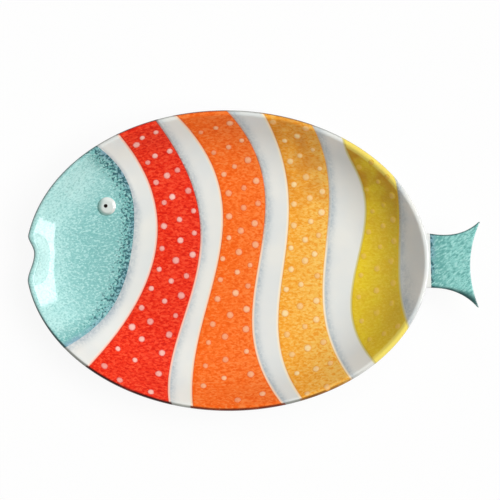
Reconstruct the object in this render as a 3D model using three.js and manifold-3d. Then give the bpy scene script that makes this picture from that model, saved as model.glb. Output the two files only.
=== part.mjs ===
// A serving dish in the form of a fish, in glazed earthenware: an oval dish with a pinched mouth,
// a luted foot, tail and eye, and thick coloured glazes laid over the white.
// Millimetres, +Z up. The nose points to -X and the tail to +X. The origin is on the table, under
// the middle of the whole length.

import * as THREE from "three";
import { mergeVertices } from "three/addons/utils/BufferGeometryUtils.js";
import Module from "manifold-3d";

const wasm = await Module();
wasm.setup();

// Dish: oval on plan, one thickness all through, with a half-round lip
const DISH_LENGTH = 356;
const DISH_WIDTH = 265;
const DISH_HEIGHT = 40; // table to the crest of the lip
const WALL_THICKNESS = 5.5;
const WALL_SLOPE = 42; // degrees up from the table
const BEND_RADIUS = 74; // between floor and wall, at half thickness

// Mouth: a pinch that pushes the lip in and down at the nose and dies out down the wall
const MOUTH_DEPTH = 7.2;
const MOUTH_DIP = 4; // how far the lip sinks
const MOUTH_RAISE = 3.5; // from the long axis towards the eye
const MOUTH_ABOVE = 17; // from its deepest point along the lip, towards the eye
const MOUTH_BELOW = 25.5; // and the other way
const MOUTH_REACH = 25; // from the lip down the wall

// Foot: an oval ring under the flat floor
const FOOT_HEIGHT = 5;
const FOOT_WIDTH = 8;
const FOOT_SETBACK = 2; // in from the edge of the flat floor
const FOOT_CHAMFER = 1.2;

// Tail: a forked slab against the wall, just below the lip
const TAIL_REACH = 44.5; // from the lip to the tips
const TAIL_SPAN = 78; // across the tips
const TAIL_ROOT = 48; // width at the lip
const TAIL_NECK = 42; // width that the sides draw in towards
const TAIL_NECK_REACH = 28; // from the lip to the neck
const TAIL_FORK = 8; // depth of the hollow between the tips
const TAIL_RISE = 2.1; // how far its root is set towards the eye
const TAIL_SLANT = 3; // how far its tips swing back from there
const TAIL_THICKNESS = 6;
const TAIL_DROP = 3.5; // below the crest of the lip
const TAIL_ROUNDING = 2;

// Eye: a domed button with a black dab on it
const EYE_DIAMETER = 16.6;
const EYE_HEIGHT = 4.5;
const EYE_FROM_NOSE = 69.8;
const EYE_FROM_AXIS = 47;
const PUPIL_DIAMETER = 3.6;
const PUPIL_GAZE = 8; // degrees towards the nose

// Glaze: coats of one thickness, from the floor to just over the crest of the lip
const COAT_THICKNESS = 0.6;
const CLEARANCE = 0.3; // between a piece and what it is laid on

// Edges of the glaze fields. An edge crosses the long axis at a share of the half length, and from
// there it leans, bows, swirls and curls by shares of the half width. It can run straight out to the
// rim from a share of the half width on.
const HEAD_EDGE = { at: -0.488, lean: 0.18, bow: -0.35, swirl: 0.34, curl: -0.95 };
const STRIPES = [
  {
    name: "red_stripe",
    color: 0xe2482f,
    front: { at: -0.371, lean: 0.23, bow: -0.55, swirl: -0.08 },
    back: { at: -0.144, lean: 0.14, bow: -0.39, swirl: -0.23, curl: 0.13 },
  },
  {
    name: "orange_stripe",
    color: 0xf5752f,
    front: { at: -0.048, lean: 0.19, bow: -0.24, swirl: -0.28 },
    back: { at: 0.158, lean: 0.16, bow: -0.01, swirl: -0.38 },
  },
  {
    name: "amber_stripe",
    color: 0xf2ae45,
    front: { at: 0.283, lean: 0.125, bow: -0.05, swirl: -0.31, curl: 0.07 },
    back: { at: 0.484, lean: 0.08, bow: 0.12, swirl: -0.36 },
  },
  {
    name: "yellow_stripe",
    color: 0xd3b535,
    front: { at: 0.651, lean: 0.215, bow: 0.07, swirl: -0.78, straightFrom: 0.72 },
    back: { at: 0.852, lean: 0, bow: 0.14, swirl: -0.45, straightFrom: 0.72 },
  },
];

// Fineness of the facets
const RIM_STEPS = 120;
const NOSE_CROWDING = 0.35; // how far the steps round the rim draw together at the nose
const BEND_STEPS = 7;
const SLOPE_STEPS = 2;
const LIP_STEPS = 6;
const COAT_LIP_STEPS = 3; // steps of the lip that the coats run over
const OUTER_LIP_STEPS = 3;
const EDGE_STEPS = 24;
const EDGE_OVERRUN = 1.1; // share of the half width at which an edge ends, past the lip
const TAIL_STEPS = 6;
const EYE_STEPS = 24;
const PUPIL_STEPS = 10;
const DOME_STEPS = 4;

// Sizes that follow from the ones above
const HALF_LENGTH = DISH_LENGTH / 2;
const HALF_WIDTH = DISH_WIDTH / 2;
const LIP_RADIUS = WALL_THICKNESS / 2;
const SLOPE = THREE.MathUtils.degToRad(WALL_SLOPE);
const FLOOR_MIDDLE = FOOT_HEIGHT + LIP_RADIUS;
const LIP_MIDDLE = DISH_HEIGHT - LIP_RADIUS;
const BEND_RISE = BEND_RADIUS * (1 - Math.cos(SLOPE));
const SLOPE_RUN = (LIP_MIDDLE - FLOOR_MIDDLE - BEND_RISE) / Math.tan(SLOPE);
const FLOOR_INSET = LIP_RADIUS + SLOPE_RUN + BEND_RADIUS * Math.sin(SLOPE);
const FOOT_EDGE = Math.min(FOOT_CHAMFER, FOOT_HEIGHT / 2, FOOT_WIDTH / 3);
const TAIL_TOP = DISH_HEIGHT - TAIL_DROP;
const TAIL_EDGE = Math.min(TAIL_ROUNDING, TAIL_THICKNESS / 3);
const COAT_EDGE = COAT_THICKNESS / 3;
const EYE_RADIUS = EYE_DIAMETER / 2;
const EYE_SPHERE = (EYE_RADIUS ** 2 + EYE_HEIGHT ** 2) / (2 * EYE_HEIGHT);
const COAT_UNDER = LIP_RADIUS + CLEARANCE;
const COAT_OVER = COAT_UNDER + COAT_THICKNESS;

// Glazes and clay
const WHITE_GLAZE = glaze(0xe6e8e4);
const TURQUOISE_GLAZE = glaze(0x9ed6d5);
const BLACK_GLAZE = glaze(0x14110f);
const BARE_CLAY = new THREE.MeshStandardMaterial({ color: 0xd8c3a5, roughness: 0.85, metalness: 0 });

function glaze(color) {
  return new THREE.MeshStandardMaterial({ color, roughness: 0.12, metalness: 0 });
}

// Evenly spread values from `from` to `to`, both included
function spread(from, to, steps) {
  return Array.from({ length: steps + 1 }, (_, k) => THREE.MathUtils.lerp(from, to, k / steps));
}

// Angles round the rim, closest together at the nose
const RIM_ANGLES = spread(0, 2 * Math.PI, RIM_STEPS)
  .slice(0, RIM_STEPS)
  .map((turn) => turn + NOSE_CROWDING * Math.sin(turn));

// The wall in section: places along its half-thickness line, from the flat floor to the middle of
// the lip, each with the tilt of the wall there
const FLOOR_TO_LIP = [
  ...spread(0, SLOPE, BEND_STEPS).map((tilt) => ({
    inset: FLOOR_INSET - BEND_RADIUS * Math.sin(tilt),
    height: FLOOR_MIDDLE + BEND_RADIUS * (1 - Math.cos(tilt)),
    tilt,
  })),
  ...spread(SLOPE_RUN, 0, SLOPE_STEPS).slice(1).map((run) => ({
    inset: LIP_RADIUS + run,
    height: LIP_MIDDLE - run * Math.tan(SLOPE),
    tilt: SLOPE,
  })),
];

// The lip in section, by angles that start square to the wall's upper side and go outwards
function lipTurn(from, to, steps) {
  return spread(from, to, steps).map((angle) => ({
    inset: LIP_RADIUS,
    height: LIP_MIDDLE,
    tilt: SLOPE - angle,
  }));
}

// How far the mouth moves a point of the dish, as a share of its whole depth
function pinch(x, y, inset) {
  if (x > 0) {
    return 0;
  }
  const aside = (y - MOUTH_RAISE) / (y > MOUTH_RAISE ? MOUTH_ABOVE : MOUTH_BELOW);
  return Math.max(0, 1 - aside ** 2 - (inset - LIP_RADIUS) / MOUTH_REACH) ** 2;
}

// One turn round the dish at a place of its section, moved square to the wall by `offset`
function ring({ inset, height, tilt }, offset) {
  const reach = inset + offset * Math.sin(tilt);
  const level = height + offset * Math.cos(tilt);
  return RIM_ANGLES.map((angle) => {
    const x = (HALF_LENGTH - reach) * Math.cos(angle);
    const y = (HALF_WIDTH - reach) * Math.sin(angle);
    const share = pinch(x, y, inset);
    return new THREE.Vector3(x + MOUTH_DEPTH * share, y, level - MOUTH_DIP * share);
  });
}

function rings(places, offset) {
  return places.map((place) => ring(place, offset));
}

// Skin through a series of turns, closed by flat caps or by going back to the first turn. Each
// four-sided facet is split along its shorter diagonal, so that a coat's facets match the dish's.
function skin(turns, joinEnds) {
  const count = RIM_STEPS;
  const points = turns.flat();
  const triangles = [];
  const spans = joinEnds ? turns.length : turns.length - 1;
  for (let level = 0; level < spans; level += 1) {
    const first = level * count;
    const second = ((level + 1) % turns.length) * count;
    for (let k = 0; k < count; k += 1) {
      const next = (k + 1) % count;
      const [a, b, c, d] = [first + k, second + k, second + next, first + next];
      if (points[a].distanceTo(points[c]) < points[b].distanceTo(points[d])) {
        triangles.push(a, b, c, a, c, d);
      } else {
        triangles.push(a, b, d, b, c, d);
      }
    }
  }
  if (!joinEnds) {
    const lastTurn = (turns.length - 1) * count;
    for (const [a, b, c] of THREE.ShapeUtils.triangulateShape(turns[0], [])) {
      triangles.push(a, b, c);
    }
    for (const [a, b, c] of THREE.ShapeUtils.triangulateShape(turns.at(-1), [])) {
      triangles.push(lastTurn + c, lastTurn + b, lastTurn + a);
    }
  }
  const geometry = new THREE.BufferGeometry().setFromPoints(points);
  geometry.setIndex(triangles);
  return geometry;
}

function toSolid(geometry) {
  const bare = geometry.clone();
  bare.deleteAttribute("normal");
  bare.deleteAttribute("uv");
  const merged = mergeVertices(bare);
  const vertProperties = new Float32Array(merged.attributes.position.array);
  const triVerts = new Uint32Array(merged.index.array);
  return new wasm.Manifold(new wasm.Mesh({ numProp: 3, vertProperties, triVerts }));
}

function toGeometry(solid) {
  const { vertProperties, triVerts } = solid.getMesh();
  const geometry = new THREE.BufferGeometry();
  geometry.setAttribute("position", new THREE.BufferAttribute(vertProperties, 3));
  geometry.setIndex(new THREE.BufferAttribute(triVerts, 1));
  return geometry;
}

function piece(name, geometry, material) {
  geometry.computeVertexNormals();
  const mesh = new THREE.Mesh(geometry, material);
  mesh.name = name;
  return mesh;
}

// The dish, thickened by `growth` on every side
function dishGeometry(growth) {
  const half = LIP_RADIUS + growth;
  const upper = rings(FLOOR_TO_LIP, half);
  const lip = rings(lipTurn(0, Math.PI, LIP_STEPS).slice(1, -1), half);
  const lower = rings(FLOOR_TO_LIP, -half).reverse();
  return skin([...upper, ...lip, ...lower], false);
}

// Everything inside the dish's outer side, with a lid above the lip
function filledDishGeometry(growth) {
  const half = LIP_RADIUS + growth;
  const lid = { inset: LIP_RADIUS, height: DISH_HEIGHT + WALL_THICKNESS, tilt: -Math.PI / 2 };
  const lip = lipTurn(SLOPE + Math.PI / 2, Math.PI, OUTER_LIP_STEPS).slice(0, -1);
  const lower = rings(FLOOR_TO_LIP, -half).reverse();
  return skin([...rings([lid, ...lip], half), ...lower], false);
}

// A layer over the whole upper side of the dish, from which each glaze field is cut
function coatGeometry() {
  const lip = lipTurn(0, Math.PI, LIP_STEPS).slice(1, COAT_LIP_STEPS + 1);
  const upperSide = [...FLOOR_TO_LIP, ...lip];
  const over = rings(upperSide, COAT_OVER);
  const under = rings(upperSide, COAT_UNDER).reverse();
  return skin([...over, ...under], false);
}

// Points along an edge of a glaze field, from one side of the dish to the other
function edgePoints({ at, lean, bow, swirl, curl = 0, straightFrom = EDGE_OVERRUN }) {
  return spread(-EDGE_OVERRUN, EDGE_OVERRUN, EDGE_STEPS).map((across) => {
    const held = Math.min(across, straightFrom);
    const sway = lean * held + bow * held ** 2 + swirl * held ** 3 + curl * held ** 4;
    return new THREE.Vector2(HALF_LENGTH * at + HALF_WIDTH * sway, HALF_WIDTH * across);
  });
}

// The part of the coat between a front line of points and an edge behind it
function glazeField(coat, frontPoints, backEdge) {
  const outline = [...edgePoints(backEdge), ...frontPoints.toReversed()];
  const depth = 2 * DISH_HEIGHT;
  const prism = new THREE.ExtrudeGeometry(new THREE.Shape(outline), { depth, bevelEnabled: false });
  return coat.intersect(toSolid(prism));
}

// The head's field has no front edge of its own: it starts ahead of the nose
function pointsAheadOfNose() {
  const x = -3 * HALF_LENGTH;
  return [new THREE.Vector2(x, -2 * HALF_WIDTH), new THREE.Vector2(x, 2 * HALF_WIDTH)];
}

function footGeometry() {
  const outer = FLOOR_INSET + FOOT_SETBACK;
  const inner = outer + FOOT_WIDTH;
  const section = [
    { inset: inner, height: FOOT_HEIGHT, tilt: 0 },
    { inset: outer, height: FOOT_HEIGHT, tilt: 0 },
    { inset: outer, height: FOOT_EDGE, tilt: 0 },
    { inset: outer + FOOT_EDGE, height: 0, tilt: 0 },
    { inset: inner - FOOT_EDGE, height: 0, tilt: 0 },
    { inset: inner, height: FOOT_EDGE, tilt: 0 },
  ];
  return skin(rings(section, 0), true);
}

// Outline of the tail on plan, with its root well inside the dish
function tailShape() {
  const tip = HALF_LENGTH + TAIL_REACH;
  const neck = HALF_LENGTH + TAIL_NECK_REACH;
  const root = HALF_LENGTH - TAIL_ROOT / 2;
  const shape = new THREE.Shape();
  shape.moveTo(root, -TAIL_ROOT / 2);
  shape.lineTo(HALF_LENGTH, -TAIL_ROOT / 2);
  shape.quadraticCurveTo(neck, -TAIL_NECK / 2, tip, -TAIL_SPAN / 2);
  shape.quadraticCurveTo(tip - 2 * TAIL_FORK, 0, tip, TAIL_SPAN / 2);
  shape.quadraticCurveTo(neck, TAIL_NECK / 2, HALF_LENGTH, TAIL_ROOT / 2);
  shape.lineTo(root, TAIL_ROOT / 2);
  shape.closePath();
  return shape;
}

// A slab with rounded edges, whose outline lies `inset` inside the tail's, set a little askew
function tailSlab(bottom, thickness, rounding, inset) {
  const slab = new THREE.ExtrudeGeometry(tailShape(), {
    depth: thickness - 2 * rounding,
    curveSegments: TAIL_STEPS,
    bevelThickness: rounding,
    bevelSize: rounding,
    bevelOffset: -rounding - inset,
    bevelSegments: 2,
  });
  const askew = new THREE.Matrix4().makeShear(-TAIL_SLANT / TAIL_REACH, 0, 0, 0, 0, 0);
  slab.translate(-HALF_LENGTH, 0, 0).applyMatrix4(askew);
  return slab.translate(HALF_LENGTH, TAIL_RISE, bottom + rounding);
}

// Solid of revolution about +Z
function turned(profile, steps) {
  const points = profile.map(([radius, height]) => new THREE.Vector2(radius, height));
  return new THREE.LatheGeometry(points, steps).rotateX(Math.PI / 2);
}

// Arc over the eye's dome, from its axis to an angle off it
function domeArc(radius, angle) {
  return spread(0, angle, DOME_STEPS).map((tilt) => [
    radius * Math.sin(tilt),
    radius * Math.cos(tilt) - (EYE_SPHERE - EYE_HEIGHT),
  ]);
}

// Stands a shape on the dish's surface at the eye, square to it
function eyePlacement(dishMesh) {
  const above = new THREE.Vector3(EYE_FROM_NOSE - HALF_LENGTH, EYE_FROM_AXIS, 2 * DISH_HEIGHT);
  const down = new THREE.Vector3(0, 0, -1);
  const [hit] = new THREE.Raycaster(above, down).intersectObject(dishMesh);
  const turn = new THREE.Quaternion().setFromUnitVectors(new THREE.Vector3(0, 0, 1), hit.face.normal);
  return new THREE.Matrix4().compose(hit.point, turn, new THREE.Vector3(1, 1, 1));
}

function eyeBossGeometry() {
  const profile = [
    [0, -EYE_HEIGHT],
    [EYE_RADIUS, -EYE_HEIGHT],
    ...domeArc(EYE_SPHERE, Math.asin(EYE_RADIUS / EYE_SPHERE)).reverse(),
  ];
  return turned(profile, EYE_STEPS);
}

function eyeHoleGeometry() {
  const radius = EYE_RADIUS + CLEARANCE;
  const profile = [
    [0, -EYE_HEIGHT],
    [radius, -EYE_HEIGHT],
    [radius, EYE_HEIGHT],
    [0, EYE_HEIGHT],
  ];
  return turned(profile, EYE_STEPS);
}

// A lens that follows the dome, turned about the dome's centre towards the nose
function pupilGeometry() {
  const angle = Math.asin(PUPIL_DIAMETER / 2 / EYE_SPHERE);
  const under = EYE_SPHERE + CLEARANCE;
  const profile = [...domeArc(under, angle), ...domeArc(under + COAT_THICKNESS, angle).reverse()];
  const centre = EYE_SPHERE - EYE_HEIGHT;
  return turned(profile, PUPIL_STEPS)
    .translate(0, 0, centre)
    .rotateY(-THREE.MathUtils.degToRad(PUPIL_GAZE))
    .translate(0, 0, -centre);
}

const fish = new THREE.Group();

const dishBody = piece("dish_body", dishGeometry(0), WHITE_GLAZE);
fish.add(dishBody);
fish.add(piece("foot_ring", footGeometry(), BARE_CLAY));

const clearOfDish = toSolid(filledDishGeometry(CLEARANCE));
const tailFin = toSolid(tailSlab(TAIL_TOP - TAIL_THICKNESS, TAIL_THICKNESS, TAIL_EDGE, 0));
fish.add(piece("tail_fin", toGeometry(tailFin.subtract(clearOfDish)), WHITE_GLAZE));
const tailCoat = toSolid(tailSlab(TAIL_TOP + CLEARANCE, COAT_THICKNESS, COAT_EDGE, TAIL_EDGE));
fish.add(piece("tail_glaze", toGeometry(tailCoat.subtract(clearOfDish)), TURQUOISE_GLAZE));

const onDish = eyePlacement(dishBody);
const eyeBoss = toSolid(eyeBossGeometry().applyMatrix4(onDish));
const eyeHole = toSolid(eyeHoleGeometry().applyMatrix4(onDish));
fish.add(piece("eye_boss", toGeometry(eyeBoss.subtract(toSolid(dishGeometry(CLEARANCE)))), WHITE_GLAZE));
fish.add(piece("eye_pupil", pupilGeometry().applyMatrix4(onDish), BLACK_GLAZE));

const coat = toSolid(coatGeometry());
const headGlaze = glazeField(coat, pointsAheadOfNose(), HEAD_EDGE).subtract(eyeHole);
fish.add(piece("head_glaze", toGeometry(headGlaze), TURQUOISE_GLAZE));
for (const { name, color, front, back } of STRIPES) {
  const field = glazeField(coat, edgePoints(front), back);
  fish.add(piece(name, toGeometry(field), glaze(color)));
}

const middle = new THREE.Box3().setFromObject(fish).getCenter(new THREE.Vector3());
fish.position.x = -middle.x;

export default fish;
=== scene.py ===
"""Dresses a fish-shaped serving dish: smooth glazed clay, raised coats of coloured glaze, glaze dots
and a plain studio. Metres, +Z up, nose to -X and tail to +X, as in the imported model."""

import logging
import math
from collections.abc import Callable
from dataclasses import dataclass, field
from enum import Enum

import bpy
import numpy as np
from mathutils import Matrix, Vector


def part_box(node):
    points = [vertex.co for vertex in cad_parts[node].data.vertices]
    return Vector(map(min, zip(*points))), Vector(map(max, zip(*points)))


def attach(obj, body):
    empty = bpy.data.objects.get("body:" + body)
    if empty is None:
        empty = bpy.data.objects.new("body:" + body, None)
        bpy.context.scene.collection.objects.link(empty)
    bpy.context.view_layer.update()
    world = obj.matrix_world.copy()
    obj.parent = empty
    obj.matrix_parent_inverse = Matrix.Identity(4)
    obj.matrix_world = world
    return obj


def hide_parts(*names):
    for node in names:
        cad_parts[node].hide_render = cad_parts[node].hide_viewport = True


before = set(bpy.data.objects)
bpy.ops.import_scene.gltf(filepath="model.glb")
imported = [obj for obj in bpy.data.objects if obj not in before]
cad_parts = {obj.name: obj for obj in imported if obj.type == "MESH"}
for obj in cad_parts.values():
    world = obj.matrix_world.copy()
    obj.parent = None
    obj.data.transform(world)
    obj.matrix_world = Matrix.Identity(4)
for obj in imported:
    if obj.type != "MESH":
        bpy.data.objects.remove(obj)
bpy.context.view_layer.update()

LOG = logging.getLogger("fish_dish")
MM = 0.001
BODY = "root"
CREASE = math.radians(70)
# A distance in metres that no wash reaches, and the steps of a search by halving.
FAR = 1.0
HALVINGS = 40
# Places of a Mix node's sockets for colours: share, first and second, and the result.
MIX_COLOUR_INPUTS = (0, 6, 7)
MIX_COLOUR_OUTPUT = 2

Array = np.ndarray
# Where a smooth step leaves 0, and where it reaches 1.
Span = tuple[float, float]
Colour = tuple[float, float, float, float]
Value = bpy.types.NodeSocket | float | tuple[float, ...]


class Slot(Enum):
    """Material slots of the record that the pieces take their finish from."""

    WHITE = "white_glaze"
    CLAY = "bare_clay"
    TURQUOISE = "turquoise_glaze"
    RED = "red_glaze"
    ORANGE = "orange_glaze"
    AMBER = "amber_glaze"
    YELLOW = "yellow_glaze"
    BLACK = "black_glaze"


class Mark(Enum):
    """Values that are kept on a piece's points for its glaze to read."""

    EDGE = "edge_mm"
    ACROSS = "across"
    # Share of painted shade over the outside of the lip and along the tail's sides.
    PAINTED_SHADE = "gathered"
    # Distance to a field's back edge for the wash, which also carries painted shade behind the last field.
    WASH_AND_SHADE = "wash_mm"
    PALENESS = "paleness"
    # Teal on the eye's rim: turquoise run-up with painted shade away from the light, and less of it towards
    # the light as a painted highlight.
    RUN_AND_SHADE = "run_up"


class Socket(Enum):
    """Kinds of socket that the shared effects have."""

    FLOAT = "NodeSocketFloat"
    COLOUR = "NodeSocketColor"
    VECTOR = "NodeSocketVector"


def srgb(red: int, green: int, blue: int) -> Colour:
    """Linear colour with full alpha from display values of 0 to 255.

    Args:
        red, green, blue: Display values.

    Returns:
        The linear colour: each share is lifted by the display curve's power.
    """
    shares = np.array([red, green, blue]) / 255
    linear = np.where(shares > 0.04045, ((shares + 0.055) / 1.055) ** 2.4, shares / 12.92)
    return (*linear.tolist(), 1.0)


def eased(value: Array, start: float, end: float) -> Array:
    """Smooth step from 0 at `start` to 1 at `end`: t * t * (3 - 2 t).

    Args:
        value: Where it is taken.
        start, end: Values at which it leaves 0 and reaches 1.

    Returns:
        Shares from 0 to 1.
    """
    t = np.clip((value - start) / (end - start), 0, 1)
    return t * t * (3 - 2 * t)


def crowded(count: int, pull: float) -> Array:
    """Shares from 0 to 1, closest together at both ends: s - pull * sin(2 pi s) / (2 pi).

    Args:
        count: How many shares.
        pull: 0 spreads them evenly, and near 1 they crowd hard at the ends.

    Returns:
        The shares, in rising order.
    """
    share = np.linspace(0, 1, count)
    return share - pull * np.sin(2 * np.pi * share) / (2 * np.pi)


def stepped(stops: tuple[float, ...], counts: tuple[int, ...]) -> Array:
    """Values that run evenly from each stop to the next, with every stop in them once.

    Args:
        stops: First and last values of the runs.
        counts: How many values each run has, with both its stops.

    Returns:
        The values in order.
    """
    runs = [np.linspace(*ends) for ends in zip(stops[:-1], stops[1:], counts)]
    return np.concatenate([stops[:1], *(run[1:] for run in runs)])


def circle(count: int) -> Array:
    """Angles of one whole turn, evenly spread, without the last."""
    return np.linspace(0, 2 * np.pi, count, endpoint=False)


def grid_quads(rows: int, columns: int, closed: bool = False) -> Array:
    """Four-sided faces of a grid of points, facing along row direction x column direction.

    Args:
        rows: Points in the first direction.
        columns: Points in the second direction.
        closed: Whether the last column joins the first.

    Returns:
        Point numbers, four to a face.
    """
    row = np.arange(rows - 1)[:, None]
    column = np.arange(columns if closed else columns - 1)[None, :]
    following = (column + 1) % columns
    corners = [
        row * columns + column,
        (row + 1) * columns + column,
        (row + 1) * columns + following,
        row * columns + following,
    ]
    return np.stack(corners, axis=-1).reshape(-1, 4)


@dataclass
class Skin:
    """A mesh as arrays: points, faces of three and of four sides, and values on the points."""

    points: Array
    faces: list[Array]
    marks: dict[Mark, Array] = field(default_factory=dict)

    @classmethod
    def shell(cls, top: Array, bottom: Array, marks: dict[Mark, Array]) -> "Skin":
        """Closed shell between two grids of the same size, joined round their border.

        Args:
            top: Points of the upper grid, rows x columns x 3.
            bottom: Points of the lower grid.
            marks: Values on the grid's points, which both grids take.

        Returns:
            The skin, with its faces outwards.
        """
        rows, columns = top.shape[:2]
        count = rows * columns
        number = np.arange(count).reshape(rows, columns)
        loop = np.concatenate([number[:-1, 0], number[-1, :-1], number[:0:-1, -1], number[0, :0:-1]])
        after = np.roll(loop, -1)
        upper = grid_quads(rows, columns)
        lower = upper[:, ::-1] + count
        sides = np.stack([loop + count, after + count, after, loop], axis=-1)
        points = np.concatenate([top.reshape(-1, 3), bottom.reshape(-1, 3)])
        doubled = {mark: np.tile(values.ravel(), 2) for mark, values in marks.items()}
        return cls(points, [np.concatenate([upper, lower, sides])], doubled)

    @classmethod
    def turned(cls, first: Array, rings: Array, last: Array, marks: dict[Mark, Array]) -> "Skin":
        """Closed skin of rings between two poles, facing along ring order x turning direction.

        Args:
            first: Pole before the first ring.
            rings: Points, rings x columns x 3.
            last: Pole after the last ring.
            marks: Values on the ring points. The poles take the nearest ring's first value.

        Returns:
            The skin.
        """
        count, columns = rings.shape[:2]
        turn = np.arange(columns)
        following = (turn + 1) % columns
        end = count * columns + 1
        far = end - columns
        opening = np.stack([0 * turn, 1 + turn, 1 + following], axis=-1)
        closing = np.stack([far + turn, end + 0 * turn, far + following], axis=-1)
        sides = grid_quads(count, columns, closed=True) + 1
        points = np.concatenate([first[None], rings.reshape(-1, 3), last[None]])
        padded = {mark: np.concatenate([v[:1, 0], v.ravel(), v[-1:, 0]]) for mark, v in marks.items()}
        return cls(points, [np.concatenate([opening, closing]), sides], padded)

    @classmethod
    def hoop(cls, loops: Array) -> "Skin":
        """Closed ring: a closed section carried round a closed path.

        Args:
            loops: Points, section points x path points x 3.

        Returns:
            The skin, facing along section order x path direction.
        """
        count, columns = loops.shape[:2]
        wrapped = np.concatenate([np.arange(count), [0]])[:, None] * columns + np.arange(columns)
        return cls(loops.reshape(-1, 3), [wrapped.ravel()[grid_quads(count + 1, columns, closed=True)]])

    def repeated(self, points: Array, marks: dict[Mark, Array]) -> "Skin":
        """Many skins with this one's faces.

        Args:
            points: Their points, skins x points x 3.
            marks: Values on those points, skins x points.

        Returns:
            All of them as one skin.
        """
        count, size = points.shape[:2]
        shift = size * np.arange(count)[:, None, None]
        faces = [(part[None] + shift).reshape(-1, part.shape[1]) for part in self.faces]
        return Skin(points.reshape(-1, 3), faces, {mark: values.ravel() for mark, values in marks.items()})

    def piece(self, name: str, material: bpy.types.Material) -> bpy.types.Object:
        """Smooth mesh object at the origin, creased at its square borders, with the marks as point
        attributes.

        Args:
            name: Name of the piece.
            material: Its finish.

        Returns:
            The object, linked into the scene.
        """
        mesh = bpy.data.meshes.new(name)
        mesh.from_pydata(self.points.tolist(), [], [face for part in self.faces for face in part.tolist()])
        for mark, values in self.marks.items():
            attribute = mesh.attributes.new(mark.value, "FLOAT", "POINT")
            attribute.data.foreach_set("value", values.astype(np.float32))
        mesh.shade_smooth()
        mesh.set_sharp_from_angle(angle=CREASE)
        mesh.materials.append(material)
        mesh.validate()
        thing = bpy.data.objects.new(name, mesh)
        bpy.context.scene.collection.objects.link(thing)
        return thing


def set_down(skin: Skin, name: str, material: bpy.types.Material, slot: Slot, *nodes: str) -> None:
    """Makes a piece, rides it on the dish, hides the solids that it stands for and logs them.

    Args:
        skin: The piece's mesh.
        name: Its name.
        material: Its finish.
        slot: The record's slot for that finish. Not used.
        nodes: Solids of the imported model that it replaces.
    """
    piece = skin.piece(name, material)
    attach(piece, BODY)
    if nodes:
        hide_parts(*nodes)
    faces = sum(len(part) for part in skin.faces)
    LOG.info("%s: %d faces, for %s", name, faces, ", ".join(nodes) or "no solid")


@dataclass(frozen=True)
class FieldEdge:
    """An edge of a glaze field on plan. It crosses the long axis at a share of the half length, and
    leans, bows, swirls and curls from there by shares of the half width."""

    at: float
    lean: float
    bow: float
    swirl: float
    curl: float = 0.0
    straight_from: float = 1.3
    easing: float = 0.05

    def share(self, dish: "DishForm", y: Array) -> Array:
        """Shares w of the half width, held smoothly past s: w - d ln(1 + e^((w - s) / d))."""
        w = y / dish.half_width
        return w - self.easing * np.logaddexp(0, (w - self.straight_from) / self.easing)

    def along(self, dish: "DishForm", y: Array) -> Array:
        """Place of the edge along the dish: a sum of powers of the shares of the half width.

        Args:
            dish: The dish that carries it.
            y: Distances to the side.

        Returns:
            Distances from the dish's middle towards the tail.
        """
        w = self.share(dish, y)
        sway = self.lean * w + self.bow * w**2 + self.swirl * w**3 + self.curl * w**4
        return dish.half_length * self.at + dish.half_width * sway

    def stretch(self, dish: "DishForm", y: Array) -> Array:
        """How much longer a step along the long axis is than the step square to the edge: the root of
        1 + the slope squared.

        Args:
            dish: The dish that carries it.
            y: Distances to the side.

        Returns:
            Times longer, 1 or more.
        """
        w = self.share(dish, y)
        slope = self.lean + 2 * self.bow * w + 3 * self.swirl * w**2 + 4 * self.curl * w**3
        held = 1 / (1 + np.exp((y / dish.half_width - self.straight_from) / self.easing))
        return np.hypot(1, slope * held)

    def ahead(self, dish: "DishForm", x: Array, y: Array) -> Array:
        """Distance square to the edge, from the edge towards the tail."""
        return (x - self.along(dish, y)) / self.stretch(dish, y)


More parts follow.
